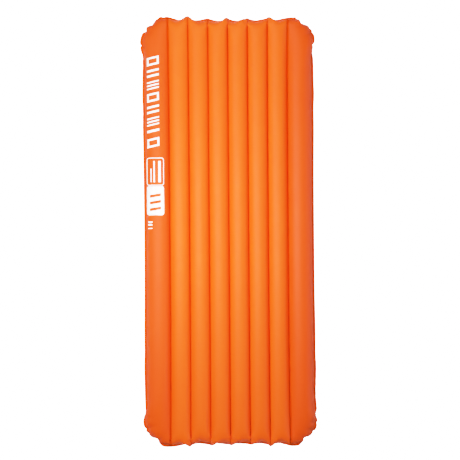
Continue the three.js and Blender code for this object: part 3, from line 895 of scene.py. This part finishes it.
def inflate_cap():
    """Small cap with a strap lug, a ribbed tab and a raised ring."""
    parts = [brick(-3.5, 3.5, 11.0, 14.2, 8.2, 9.35), brick(-4.0, 4.0, -15.6, -11.0, 8.2, 9.35)]
    for y in (-14.9, -13.7, -12.5):
        parts.append(brick(-3.0, 3.0, y - 0.3, y + 0.3, 9.1, 9.72, 0.15))
    ring = fillet([(9.4, 9.1), (10.3, 9.1), (10.3, 9.72), (9.4, 9.72)], 0.2)
    parts.append(lathe("ring2", ring))
    return union(lathe("v_cap", fillet([
        (7.4, 4.6), (8.7, 4.6), (8.7, 8.15), (12.0, 8.15), (12.0, 9.4), (0, 9.4), (0, 8.15),
        (7.4, 8.15)])), parts)


def inflate_seal():
    return lathe("v_cap_seal", fillet([(9.0, 7.25), (11.4, 7.25), (11.4, 7.9), (9.0, 7.9)]))


def lid_strap():
    path = [(20.9, 3.2), (21.9, 3.2), (22.7, 3.7), (23.0, 4.7), (22.8, 5.7), (22.1, 6.1),
            (21.3, 6.1)]
    return ribbon("v_lid_strap", path, half_width=4.0, thickness=0.6, across="y")


def cap_strap():
    path = [(12.9, 6.95), (14.4, 6.95), (15.3, 7.3), (15.6, 8.0), (15.4, 8.6), (14.9, 8.85),
            (14.35, 8.85)]
    return ribbon("v_cap_strap", path, half_width=3.5, thickness=0.45, across="x")


cut_valve_hole()
# A strap's hold: the two bodies it runs between, and a point on each.
LID_STRAP_HOLD = ("pad", "deflate_lid", valve_point(22.5, 0, 3.5), valve_point(22.5, 0, 6.0))
CAP_STRAP_HOLD = ("deflate_lid", "inflate_cap", valve_point(0, 15.2, 7.0),
                  valve_point(0, 15.2, 8.75))
# piece, its name, the body it moves with, the CAD node it replaces
VALVE_PIECES = [
    (valve_base(), "valve_base_ring", "pad", "valve_base"),
    (valve_seat(), "valve_seat_ring", "pad", "valve_seat"),
    (deflate_lid(), "deflate_lid_plate", "deflate_lid", "deflate_lid"),
    (deflate_seal(), "deflate_seal_ring", "deflate_lid", "deflate_lid_seal"),
    (check_flap(), "check_flap", "check_valve", "check_diaphragm"),
    (release_button(), "release_stem", "check_valve", "release_button"),
    (inflate_cap(), "inflate_cap_disc", "inflate_cap", "inflate_cap"),
    (inflate_seal(), "inflate_seal_ring", "inflate_cap", "inflate_cap_seal"),
    (lid_strap(), "deflate_lid_tether", LID_STRAP_HOLD, "deflate_lid_strap"),
    (cap_strap(), "inflate_cap_tether", CAP_STRAP_HOLD, "inflate_cap_strap"),
]
for o, name, _, _ in VALVE_PIECES:
    finish_piece(o, name)


# ------------------------------------------------------------------ printed marks
# Plain marks on the -X side tube, each a thin film that follows the cloth: a row of slanted bars
# and frames, an outlined panel of lines, and a solid panel with slots. Plan coordinates, mm.
MARK_X0, MARK_X1 = -367.0, -312.0  # the row of bars and frames
PANEL_X0, PANEL_X1 = -371, -292.5
LEAN = 12  # how far a bar shifts along +Y from its -X end to its +X end
ROW_START, ROW_GAP = 795.0, 6
# height and kind of each mark in the row, from the +Y end
ROW = ((50, "frame"), (46, "two bars"), (50, "three bars"), (50, "frame"),
       (46, "two bars"), (50, "three bars"), (34, "one bar"), (52, "frame"))
# per kind: bar height, and each bar's lower edge over the mark's
BARS = {"two bars": (10, (0.0, 23.0)), "three bars": (7, (0.0, 14.5, 29.0)), "one bar": (11, (10,))}
PRINT_TOP, PRINT_UNDER = 0.00022, 0.00006  # film faces over the cloth, m


def rounded(x0, y0, x1, y1, radius, n=8):
    out = []
    for cx, cy, start in ((x1 - radius, y1 - radius, 0), (x0 + radius, y1 - radius, 90),
                          (x0 + radius, y0 + radius, 180), (x1 - radius, y0 + radius, 270)):
        for i in range(n + 1):
            a = math.radians(start + 90 * i / n)
            out.append((cx + radius * math.cos(a), cy + radius * math.sin(a)))
    return out


def slanted(x0, y0, x1, y1, lean):
    """A bar across the tube whose two long edges lean along Y."""
    return [(x0, y0), (x1, y0 + lean), (x1, y1 + lean), (x0, y1)]


def frame_mark(y0, y1, width):
    slope = LEAN / (MARK_X1 - MARK_X0) * width
    x0, x1 = MARK_X0 + width, MARK_X1 - width
    hole = [(x0, y0 + width + slope), (x1, y0 + width + LEAN - slope),
            (x1, y1 - width + LEAN - slope), (x0, y1 - width + slope)]
    return [slanted(MARK_X0, y0, MARK_X1, y1, LEAN), hole]


def mark_outlines():
    """Every mark as [outer, hole, hole ...]."""
    marks = []
    y = ROW_START
    for height, kind in ROW:
        y0 = y - height
        if kind == "frame":
            marks.append(frame_mark(y0, y - LEAN, 9.0))
        else:
            bar, places = BARS[kind]
            for q in places:
                marks.append([slanted(MARK_X0, y0 + q, MARK_X1, y0 + q + bar, LEAN)])
        y -= height + ROW_GAP
    # outlined panel with plain lines
    marks.append([rounded(PANEL_X0, 207, PANEL_X1, 333, 11),
                  rounded(PANEL_X0 + 3.5, 210.5, PANEL_X1 - 3.5, 329.5, 8)])
    for x0, x1, y1 in ((-318, -306, 318), (-340, -333, 318), (-353, -348.5, 284)):
        marks.append([rounded(x0, 222, x1, y1, 2)])
    # solid panel with slots
    slots = [slanted(-357, y0, -307, y0 + 12, 8) for y0 in (92, 122, 152)]
    marks.append([rounded(PANEL_X0, 73, PANEL_X1, 205, 11)] + slots)
    # three short lines below it
    for y0, half in ((42, 3.5), (30, 3.5), (14, 2)):
        marks.append([rounded(-366, y0 - half, -346, y0 + half, 1.6)])
    return marks


def decal(name, loops, surface):
    """A film over the surface from plan loops, cut finely enough to follow the cloth."""
    bm = bmesh.new()
    edges = []
    for loop in loops:
        vs = [bm.verts.new((x / 1000, y / 1000, 0)) for x, y in loop]
        edges += [bm.edges.new((vs[i], vs[(i + 1) % len(vs)])) for i in range(len(vs))]
    bmesh.ops.triangle_fill(bm, use_beauty=True, use_dissolve=False, edges=edges)
    xs, ys = [v.co.x for v in bm.verts], [v.co.y for v in bm.verts]
    for axis, lo, hi, step in ((0, min(xs), max(xs), 0.003), (1, min(ys), max(ys), 0.008)):
        n = int((hi - lo) / step)
        for i in range(1, n + 1):
            place, normal = [0, 0, 0], [0, 0, 0]
            place[axis] = lo + (hi - lo) * i / (n + 1)
            normal[axis] = 1
            bmesh.ops.bisect_plane(bm, geom=bm.verts[:] + bm.edges[:] + bm.faces[:],
                                   plane_co=place, plane_no=normal)
    bmesh.ops.recalc_face_normals(bm, faces=bm.faces)
    if bm.faces and sum(f.normal.z * f.calc_area() for f in bm.faces) < 0:
        bmesh.ops.reverse_faces(bm, faces=bm.faces)
    bm.verts.index_update()
    faces = [tuple(v.index for v in f.verts) for f in bm.faces]
    upper, under = [], []
    for v in bm.verts:
        hit, normal, _, _ = surface.ray_cast(Vector((v.co.x, v.co.y, 0.3)), Vector((0, 0, -1)))
        upper.append(hit + normal * PRINT_TOP)
        under.append(hit + normal * PRINT_UNDER)
    n = len(upper)
    out = list(faces) + [tuple(i + n for i in f[::-1]) for f in faces]
    for e in bm.edges:
        if len(e.link_faces) != 1:
            continue
        a, b = e.verts[0].index, e.verts[1].index
        ring = [v.index for v in e.link_faces[0].verts]
        if ring[(ring.index(a) + 1) % len(ring)] != b:
            a, b = b, a
        out.append((b, a, a + n, b + n))
    bm.free()
    return mesh_object(name, upper + under, out)


def printed_marks():
    surface = BVHTree.FromPolygons([v.co.copy() for v in top.data.vertices],
                                   [tuple(p.vertices) for p in top.data.polygons])
    decals = [decal(f"print_mark_{k + 1:02d}", loops, surface)
              for k, loops in enumerate(mark_outlines())]
    bm = bmesh.new()
    for o in decals:
        bm.from_mesh(o.data)
    bm.to_mesh(decals[0].data)
    bm.free()
    for o in decals[1:]:
        bpy.data.objects.remove(o)
    decals[0].name = "printed_marks"
    return decals[0]


# ------------------------------------------------------------------ baffles and films
def baffle(k):
    """An I-beam web that follows its two seam lines, its tabs welded inside the sheets."""
    tab, web, tab_height = 0.9, 0.2, 0.4  # half widths of tab and web, mm
    seam = cloth.seams[k]
    rows = [j for j in range(cloth.n_rows) if abs(cloth.rows[j]) <= HALF_LENGTH - 62][::2]
    verts, faces = [], []
    for j in rows:
        high, low = points[0, j, seam] - (0, 0, 0.6), points[1, j, seam] + (0, 0, 0.6)
        wobble = 0.25 * math.sin(cloth.rows[j] * 0.11 + k)
        z0, z1 = low[2], high[2]
        middle = z0 + (z1 - z0) / 2
        profile = [(-tab, z0), (tab, z0), (tab, z0 + tab_height), (web, z0 + tab_height),
                   (web, middle), (web, z1 - tab_height), (tab, z1 - tab_height), (tab, z1),
                   (-tab, z1), (-tab, z1 - tab_height), (-web, z1 - tab_height),
                   (-web, middle), (-web, z0 + tab_height), (-tab, z0 + tab_height)]
        for dx, z in profile:
            q = (z - z0) / max(1e-6, z1 - z0)
            x = low[0] + (high[0] - low[0]) * q + wobble * 4 * q * (1 - q)
            y = low[1] + (high[1] - low[1]) * q
            verts.append(((x + dx) / 1000, y / 1000, z / 1000))
    n = len(profile)
    last = (len(rows) - 1) * n
    for a in range(0, last, n):
        for i in range(n):
            i2 = (i + 1) % n
            faces.append((a + i, a + i2, a + n + i2, a + n + i))
    faces.append(tuple(range(n))[::-1])
    faces.append(tuple(range(last, last + n)))
    return mesh_object(f"baffle_web_{k + 1}", verts, faces, shade_smooth=False, recalc=True)


def film(k):
    """A crinkled reflective strip between two webs, or between the last web and the side weld."""
    phase = np.random.RandomState(100 + k).uniform(0, 6.28, 6)
    rows = [j for j in range(cloth.n_rows) if abs(cloth.rows[j]) <= 862]
    columns = 13
    rim = cloth.fineness

    def seam_x(j, number):
        col = cloth.seams[number]
        return (points[0, j, col, 0] + points[1, j, col, 0]) / 2

    verts = []
    for j in rows:
        x0 = seam_x(j, k - 1) + 1.2 if k > 0 else points[0, j, rim, 0] + 9
        x1 = seam_x(j, k) - 1.2 if k < 7 else points[0, j, cloth.n_cols - 1 - rim, 0] - 9
        y = points[0, j, cloth.seams[min(k, 6)], 1]
        along = cloth.rows[j]
        for i in range(columns):
            t = i / (columns - 1)
            swell = math.sin(math.pi * t)
            crinkle = (1.6 * math.sin(along * 0.045 + 5 * t + phase[0])
                       + 1.0 * math.sin(along * 0.11 - 9 * t + phase[1])
                       + 0.6 * math.sin(along * 0.23 + 13 * t + phase[2]))
            z = MID - 1.5 * swell + swell * crinkle
            verts.append(((x0 + (x1 - x0) * t) / 1000, y / 1000, (z + 0.1) / 1000))
    n = len(verts)
    verts += [(x, y, z - 0.0002) for x, y, z in verts]
    faces = []
    for j in range(len(rows) - 1):
        for i in range(columns - 1):
            a = j * columns + i
            quad = (a, a + 1, a + columns + 1, a + columns)
            faces += [quad, tuple(v + n for v in quad[::-1])]
    loop = perimeter(len(rows), columns) @ (columns, 1)
    for a, b in zip(loop, np.roll(loop, -1)):
        faces.append((b, a, a + n, b + n))
    return mesh_object(f"reflective_strip_{k + 1}", verts, faces)


marks = printed_marks()
baffles = [baffle(k) for k in range(7)]
films = [film(k) for k in range(8)]


# ==========================================================================================
# 2. Materials
# ==========================================================================================
class Graph:
    """A node tree, with short ways of adding nodes; inputs may be sockets or plain values."""

    def __init__(self, tree):
        self.tree = tree

    def node(self, kind):
        return self.tree.nodes.new("ShaderNode" + kind)

    def feed(self, socket, value):
        if isinstance(value, bpy.types.NodeSocket):
            self.tree.links.new(value, socket)
        else:
            socket.default_value = value

    def math(self, operation, a, b=None, clamp=False):
        n = self.node("Math")
        n.operation, n.use_clamp = operation, clamp
        self.feed(n.inputs[0], a)
        if b is not None:
            self.feed(n.inputs[1], b)
        return n.outputs[0]

    def mix(self, factor, a, b, blend="MIX"):
        n = self.node("Mix")
        n.data_type, n.blend_type = "RGBA", blend
        for index, value in ((0, factor), (6, a), (7, b)):
            self.feed(n.inputs[index], value)
        return n.outputs[2]

    def noise(self, source, scale, detail, roughness=0.5):
        n = self.node("TexNoise")
        n.inputs["Scale"].default_value = scale
        n.inputs["Detail"].default_value = detail
        n.inputs["Roughness"].default_value = roughness
        self.feed(n.inputs["Vector"], source)
        return n.outputs["Fac"]

    def wave(self, source, direction, scale):
        n = self.node("TexWave")
        n.wave_type, n.bands_direction, n.wave_profile = "BANDS", direction, "SIN"
        n.inputs["Scale"].default_value = scale
        n.inputs["Distortion"].default_value = 0.0
        self.feed(n.inputs["Vector"], source)
        return n.outputs["Fac"]

    def separate(self, vector):
        n = self.node("SeparateXYZ")
        self.feed(n.inputs[0], vector)
        return n.outputs

    def bump(self, height, strength, distance, target):
        n = self.node("Bump")
        n.inputs["Strength"].default_value = strength
        n.inputs["Distance"].default_value = distance
        self.feed(n.inputs["Height"], height)
        self.feed(target, n.outputs[0])

    def mix_shader(self, factor, a, b):
        n = self.node("MixShader")
        for socket, value in zip(n.inputs, (factor, a, b)):
            self.feed(socket, value)
        return n.outputs[0]


def new_material(name):
    """A material, its graph, its Principled shader and its output node."""
    material = bpy.data.materials.new(name)
    material.use_nodes = True
    g = Graph(material.node_tree)
    g.tree.nodes.clear()
    output = g.node("OutputMaterial")
    bsdf = g.node("BsdfPrincipled")
    g.feed(output.inputs[0], bsdf.outputs[0])
    return material, g, bsdf, output


def shell_fabric():
    material, g, bsdf, _ = new_material("shell_fabric")
    uv = g.node("UVMap")
    uv.uv_map = "pattern"
    pattern = uv.outputs[0]
    place = g.node("TexCoord").outputs["Object"]
    # plain weave: two crossed waves along the flat pattern
    weave_scale = 420
    warp = g.wave(pattern, "X", weave_scale)
    weft = g.wave(pattern, "Y", weave_scale)
    weave = g.math("MULTIPLY", warp, weft)
    # unevenness of the cloth at three scales
    big = g.noise(place, scale=7.0, detail=3.0, roughness=0.5)
    medium = g.noise(place, scale=46.0, detail=4.0, roughness=0.6)
    fine = g.noise(place, scale=420.0, detail=2.0, roughness=0.6)
    attribute = g.node("Attribute")
    attribute.attribute_name = "weld"
    weld = attribute.outputs["Fac"]
    # three oranges, blotched
    base = g.mix(big, (0.84, 0.090, 0.0022, 1), (0.82, 0.100, 0.0034, 1))
    base = g.mix(g.math("MULTIPLY", medium, 0.5), base, (0.81, 0.082, 0.0020, 1))
    # distance from the nearest seam, in seam pitches; the painted shade along a seam ends about 9 mm
    # away
    u = g.separate(pattern)[0]
    pitches = g.math("ABSOLUTE", g.math("MULTIPLY", u, 1000 / FLAT_PITCH))
    nearest = g.math("MINIMUM", g.math("ROUND", pitches), float(LAST_SEAM))
    away = g.math("ABSOLUTE", g.math("SUBTRACT", pitches, nearest))
    seam = g.math("SUBTRACT", 1.3, g.math("MULTIPLY", away, FLAT_PITCH / 7.0), clamp=True)
    # welds redder; seams darker with painted shade, the shadow that falls in the groove along each
    # seam
    base = g.mix(g.math("MULTIPLY", weld, 0.35), base, (0.86, 0.075, 0.0016, 1))
    base = g.mix(g.math("MULTIPLY", seam, 0.85), base, (0.54, 0.044, 0.0008, 1))
    # the two side tubes are made darker than the middle of the pad
    distance = g.math("ABSOLUTE", g.separate(pattern)[0])
    past = g.math("SUBTRACT", distance, SIDE_START / 1000)
    outer = g.math("MULTIPLY", past, 400, clamp=True)
    base = g.mix(outer, base, g.mix(1.0, base, (0.82, 0.72, 0.64, 1), "MULTIPLY"))
    g.feed(bsdf.inputs["Base Color"], base)
    # 0.44 to 0.60 rough, a little less on welds; no gloss on seams and welds
    rough = g.math("ADD", g.math("MULTIPLY", medium, 0.16), 0.44)
    rough = g.math("SUBTRACT", rough, g.math("MULTIPLY", weld, 0.06))
    g.feed(bsdf.inputs["Roughness"], rough)
    loose = g.math("SUBTRACT", 1.0, g.math("MAXIMUM", seam, weld))
    g.feed(bsdf.inputs["Specular IOR Level"], g.math("MULTIPLY", loose, 0.155))
    bsdf.inputs["Sheen Weight"].default_value = 0.03
    bsdf.inputs["Sheen Roughness"].default_value = 0.45
    bsdf.inputs["Sheen Tint"].default_value = (1.0, 0.62, 0.36, 1)
    # height: weave on cloth, embossed dots on welds, soft unevenness everywhere
    dots = g.math("MULTIPLY", g.wave(pattern, "X", 130), g.wave(pattern, "Y", 130))
    height = g.math("MULTIPLY", weave, 0.10)
    height = g.math("ADD", height, g.math("MULTIPLY", g.math("MULTIPLY", dots, weld), 0.16))
    height = g.math("ADD", height, g.math("MULTIPLY", medium, 0.55))
    height = g.math("ADD", height, g.math("MULTIPLY", fine, 0.07))
    g.bump(height, strength=0.45, distance=0.0011, target=bsdf.inputs["Normal"])
    return material


def plastic(name, rgb, rough, grain=0.3, scale=900.0, metallic=0.0):
    """A mottled, finely grained surface; `grain` is the bump's strength."""
    material, g, bsdf, _ = new_material(name)
    place = g.node("TexCoord").outputs["Object"]
    fine = g.noise(place, scale, detail=3)
    mottle = g.noise(place, scale / 9, detail=3)
    dark = tuple(c * 0.8 for c in rgb) + (1,)
    light = tuple(min(1, c * 1.18 + 0.004) for c in rgb) + (1,)
    g.feed(bsdf.inputs["Base Color"], g.mix(mottle, dark, light))
    uneven = g.math("ADD", g.math("MULTIPLY", mottle, 0.2), rough - 0.1)
    g.feed(bsdf.inputs["Roughness"], uneven)
    bsdf.inputs["Specular IOR Level"].default_value = 0.5
    bsdf.inputs["Metallic"].default_value = metallic
    g.bump(fine, strength=grain, distance=0.0002, target=bsdf.inputs["Normal"])
    return material


SLOT_MATERIAL = {
    "shell_fabric": shell_fabric(),
    "valve_plastic": plastic("valve_nylon", (0.016, 0.017, 0.019), rough=0.42),
    "cap_plastic": plastic("cap_plastic", (0.022, 0.023, 0.025), rough=0.38),
    "weld_tpu": plastic("weld_tpu", (0.028, 0.029, 0.031), rough=0.5, grain=0.15, scale=300),
    "silicone": plastic("silicone", (0.62, 0.62, 0.60), rough=0.42, grain=0.1, scale=500),
    "button_plastic": plastic("button_plastic", (0.82, 0.15, 0.02), rough=0.4, grain=0.2),
}
INK = plastic("print_ink", (0.86, 0.86, 0.85), rough=0.55, grain=0.25, scale=700)
SLOT_MATERIAL["baffle_fabric"] = plastic("baffle_fabric", (0.72, 0.70, 0.66), rough=0.65,
                                         grain=0.5, scale=600)
SLOT_MATERIAL["reflective_film"] = plastic("reflective_film", (0.62, 0.63, 0.65), rough=0.28,
                                           grain=0.6, scale=120, metallic=0.95)

slots = {s["node"]: s["material_slot"] for s in frame["record"]["subparts"]}
for name, o in frame["nodes"].items():
    o.data.materials.clear()
    o.data.materials.append(SLOT_MATERIAL[slots[name]])


def assign(o, hold, node, slot, material=None):
    """Gives a piece its material and parents it to the body it moves with; a strap, held by two
    bodies, only has its place baked in. Hides the CAD node it replaces.
    """
    o.data.materials.append(material or SLOT_MATERIAL[slot])
    if isinstance(hold, str):
        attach(o, hold)
    else:
        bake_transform(o)
    if node:
        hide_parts(node)


for o, _, hold, node in VALVE_PIECES:
    assign(o, hold, node, slots[node])
for k, o in enumerate(baffles):
    assign(o, "pad", f"baffle_{k + 1}", "baffle_fabric")
for k, o in enumerate(films):
    assign(o, "pad", f"reflective_film_{k + 1}", "reflective_film")
assign(marks, "pad", None, "shell_fabric", INK)
assign(top, "pad", "top_panel", "shell_fabric")
assign(bottom, "pad", "bottom_panel", "shell_fabric")


# ==========================================================================================
# 3. Floor, light and camera (metres)
# ==========================================================================================
scene = bpy.context.scene


def floor_white():
    material, g, bsdf, output = new_material("floor_white")
    bsdf.inputs["Base Color"].default_value = (0.86, 0.86, 0.86, 1)
    bsdf.inputs["Roughness"].default_value = 0.9
    bsdf.inputs["Specular IOR Level"].default_value = 0.1
    to_camera = g.node("LightPath").outputs["Is Camera Ray"]
    geometry = g.node("NewGeometry")
    bsdf.inputs["Emission Color"].default_value = (1, 1, 1, 1)
    g.feed(bsdf.inputs["Emission Strength"], g.math("MULTIPLY", to_camera, 0.9))
    # seen from straight above it is the plain white of a lit backdrop
    upward = g.separate(geometry.outputs["Incoming"])[2]
    overhead = g.math("MULTIPLY", g.math("SUBTRACT", upward, 0.90), 20.0, clamp=True)
    overhead = g.math("MULTIPLY", overhead, to_camera)
    white = g.node("Emission")
    white.inputs["Strength"].default_value = 3.0
    lit = g.mix_shader(overhead, bsdf.outputs[0], white.outputs[0])
    # see-through from below, so that the underside can be looked at
    clear = g.node("BsdfTransparent").outputs[0]
    g.feed(output.inputs[0], g.mix_shader(geometry.outputs["Backfacing"], lit, clear))
    return material


def add_floor():
    bm = bmesh.new()
    bmesh.ops.create_grid(bm, x_segments=1, y_segments=1, size=8.0)
    me = bpy.data.meshes.new("floor")
    bm.to_mesh(me)
    bm.free()
    floor = link_object("floor", me)
    floor.location = (0, 0, -0.0006)
    me.materials.append(floor_white())


def add_world():
    """A pale backdrop where it is looked at, and a weak even fill for everything else."""
    world = bpy.data.worlds.new("studio")
    scene.world = world
    world.use_nodes = True
    g = Graph(world.node_tree)
    background = g.tree.nodes["Background"]
    background.inputs[0].default_value = (1, 1, 1, 1)
    to_camera = g.node("LightPath").outputs["Is Camera Ray"]
    g.feed(background.inputs[1], g.math("ADD", g.math("MULTIPLY", to_camera, 1.75), 0.2))


def aim(o, direction):
    o.rotation_euler = Vector(direction).to_track_quat("-Z", "Y").to_euler()


def area(name, place, target, size, power, size_y=None):
    light = bpy.data.lights.new(name, "AREA")
    light.energy = power
    light.size = size
    if size_y:
        light.shape = "RECTANGLE"
        light.size_y = size_y
    o = link_object(name, light)
    o.location = place
    aim(o, Vector(target) - Vector(place))
    o.visible_camera = False


def sun(name, strength, spread, tilt, drift):
    """Shines towards -X, `tilt` degrees off straight down; `drift` is its direction's y."""
    light = bpy.data.lights.new(name, "SUN")
    light.energy = strength
    light.angle = math.radians(spread)
    tilt = math.radians(tilt)
    aim(link_object(name, light), (-math.sin(tilt), drift, -math.cos(tilt)))


def add_camera():
    """Looks straight down, with +Y up in the picture."""
    distance = 9.0
    view_width, view_height = 2.08702, 0.054  # what the picture spans, and at what z
    data = bpy.data.cameras.new("camera")
    camera = link_object("camera", data)
    data.sensor_width = 36.0
    data.lens = data.sensor_width * (distance - view_height) / view_width
    camera.location = (0.0036, 0.0040, distance)
    camera.rotation_euler = (0, 0, math.radians(-0.45))
    data.clip_end = 50
    scene.camera = camera


# (scene value as a share of WHITE_LEVEL, shown value): straight up to mid grey, then a soft
# shoulder that keeps the orange from clipping
TONE_CURVE = [(0, 0), (0.06, 0.18), (0.12, 0.36), (0.17, 0.505), (0.25, 0.70), (0.33, 0.795),
              (0.447, 0.865), (0.6, 0.93), (0.8, 0.99), (1.0, 1.0)]
WHITE_LEVEL = 3.0


def set_tone():
    view = scene.view_settings
    view.view_transform = "Standard"
    view.look = "None"
    view.exposure = 0
    view.gamma = 1
    view.use_curve_mapping = True
    mapping = view.curve_mapping
    mapping.white_level = (WHITE_LEVEL,) * 3
    mapping.extend = "HORIZONTAL"
    curve = mapping.curves[3]
    while len(curve.points) > 2:
        curve.points.remove(curve.points[1])
    curve.points[0].location, curve.points[-1].location = TONE_CURVE[0], TONE_CURVE[-1]
    for x, y in TONE_CURVE[1:-1]:
        curve.points.new(x, y)
    mapping.update()


add_floor()
add_world()
area("key", place=(-0.25, 0.05, 1.35), target=(-0.25, 0.05, 0.0), size=0.6, power=31.0)
area("head", place=(0.0, 1.25, 0.80), target=(0.0, 0.80, 0.10), size=0.5, power=4.3)
area("side", place=(-2.2, 0.5, 2.9), target=(0.0, 0.05, 0.05), size=1.3, power=93.5)
area("foot", place=(0.0, -1.75, 0.42), target=(0.0, -0.97, 0.05), size=0.5, power=1.0, size_y=0.3)
sun("rim", strength=0.44, spread=40, tilt=52, drift=0.1)
sun("edge", strength=1.02, spread=30, tilt=79, drift=0.05)
add_camera()
set_tone()
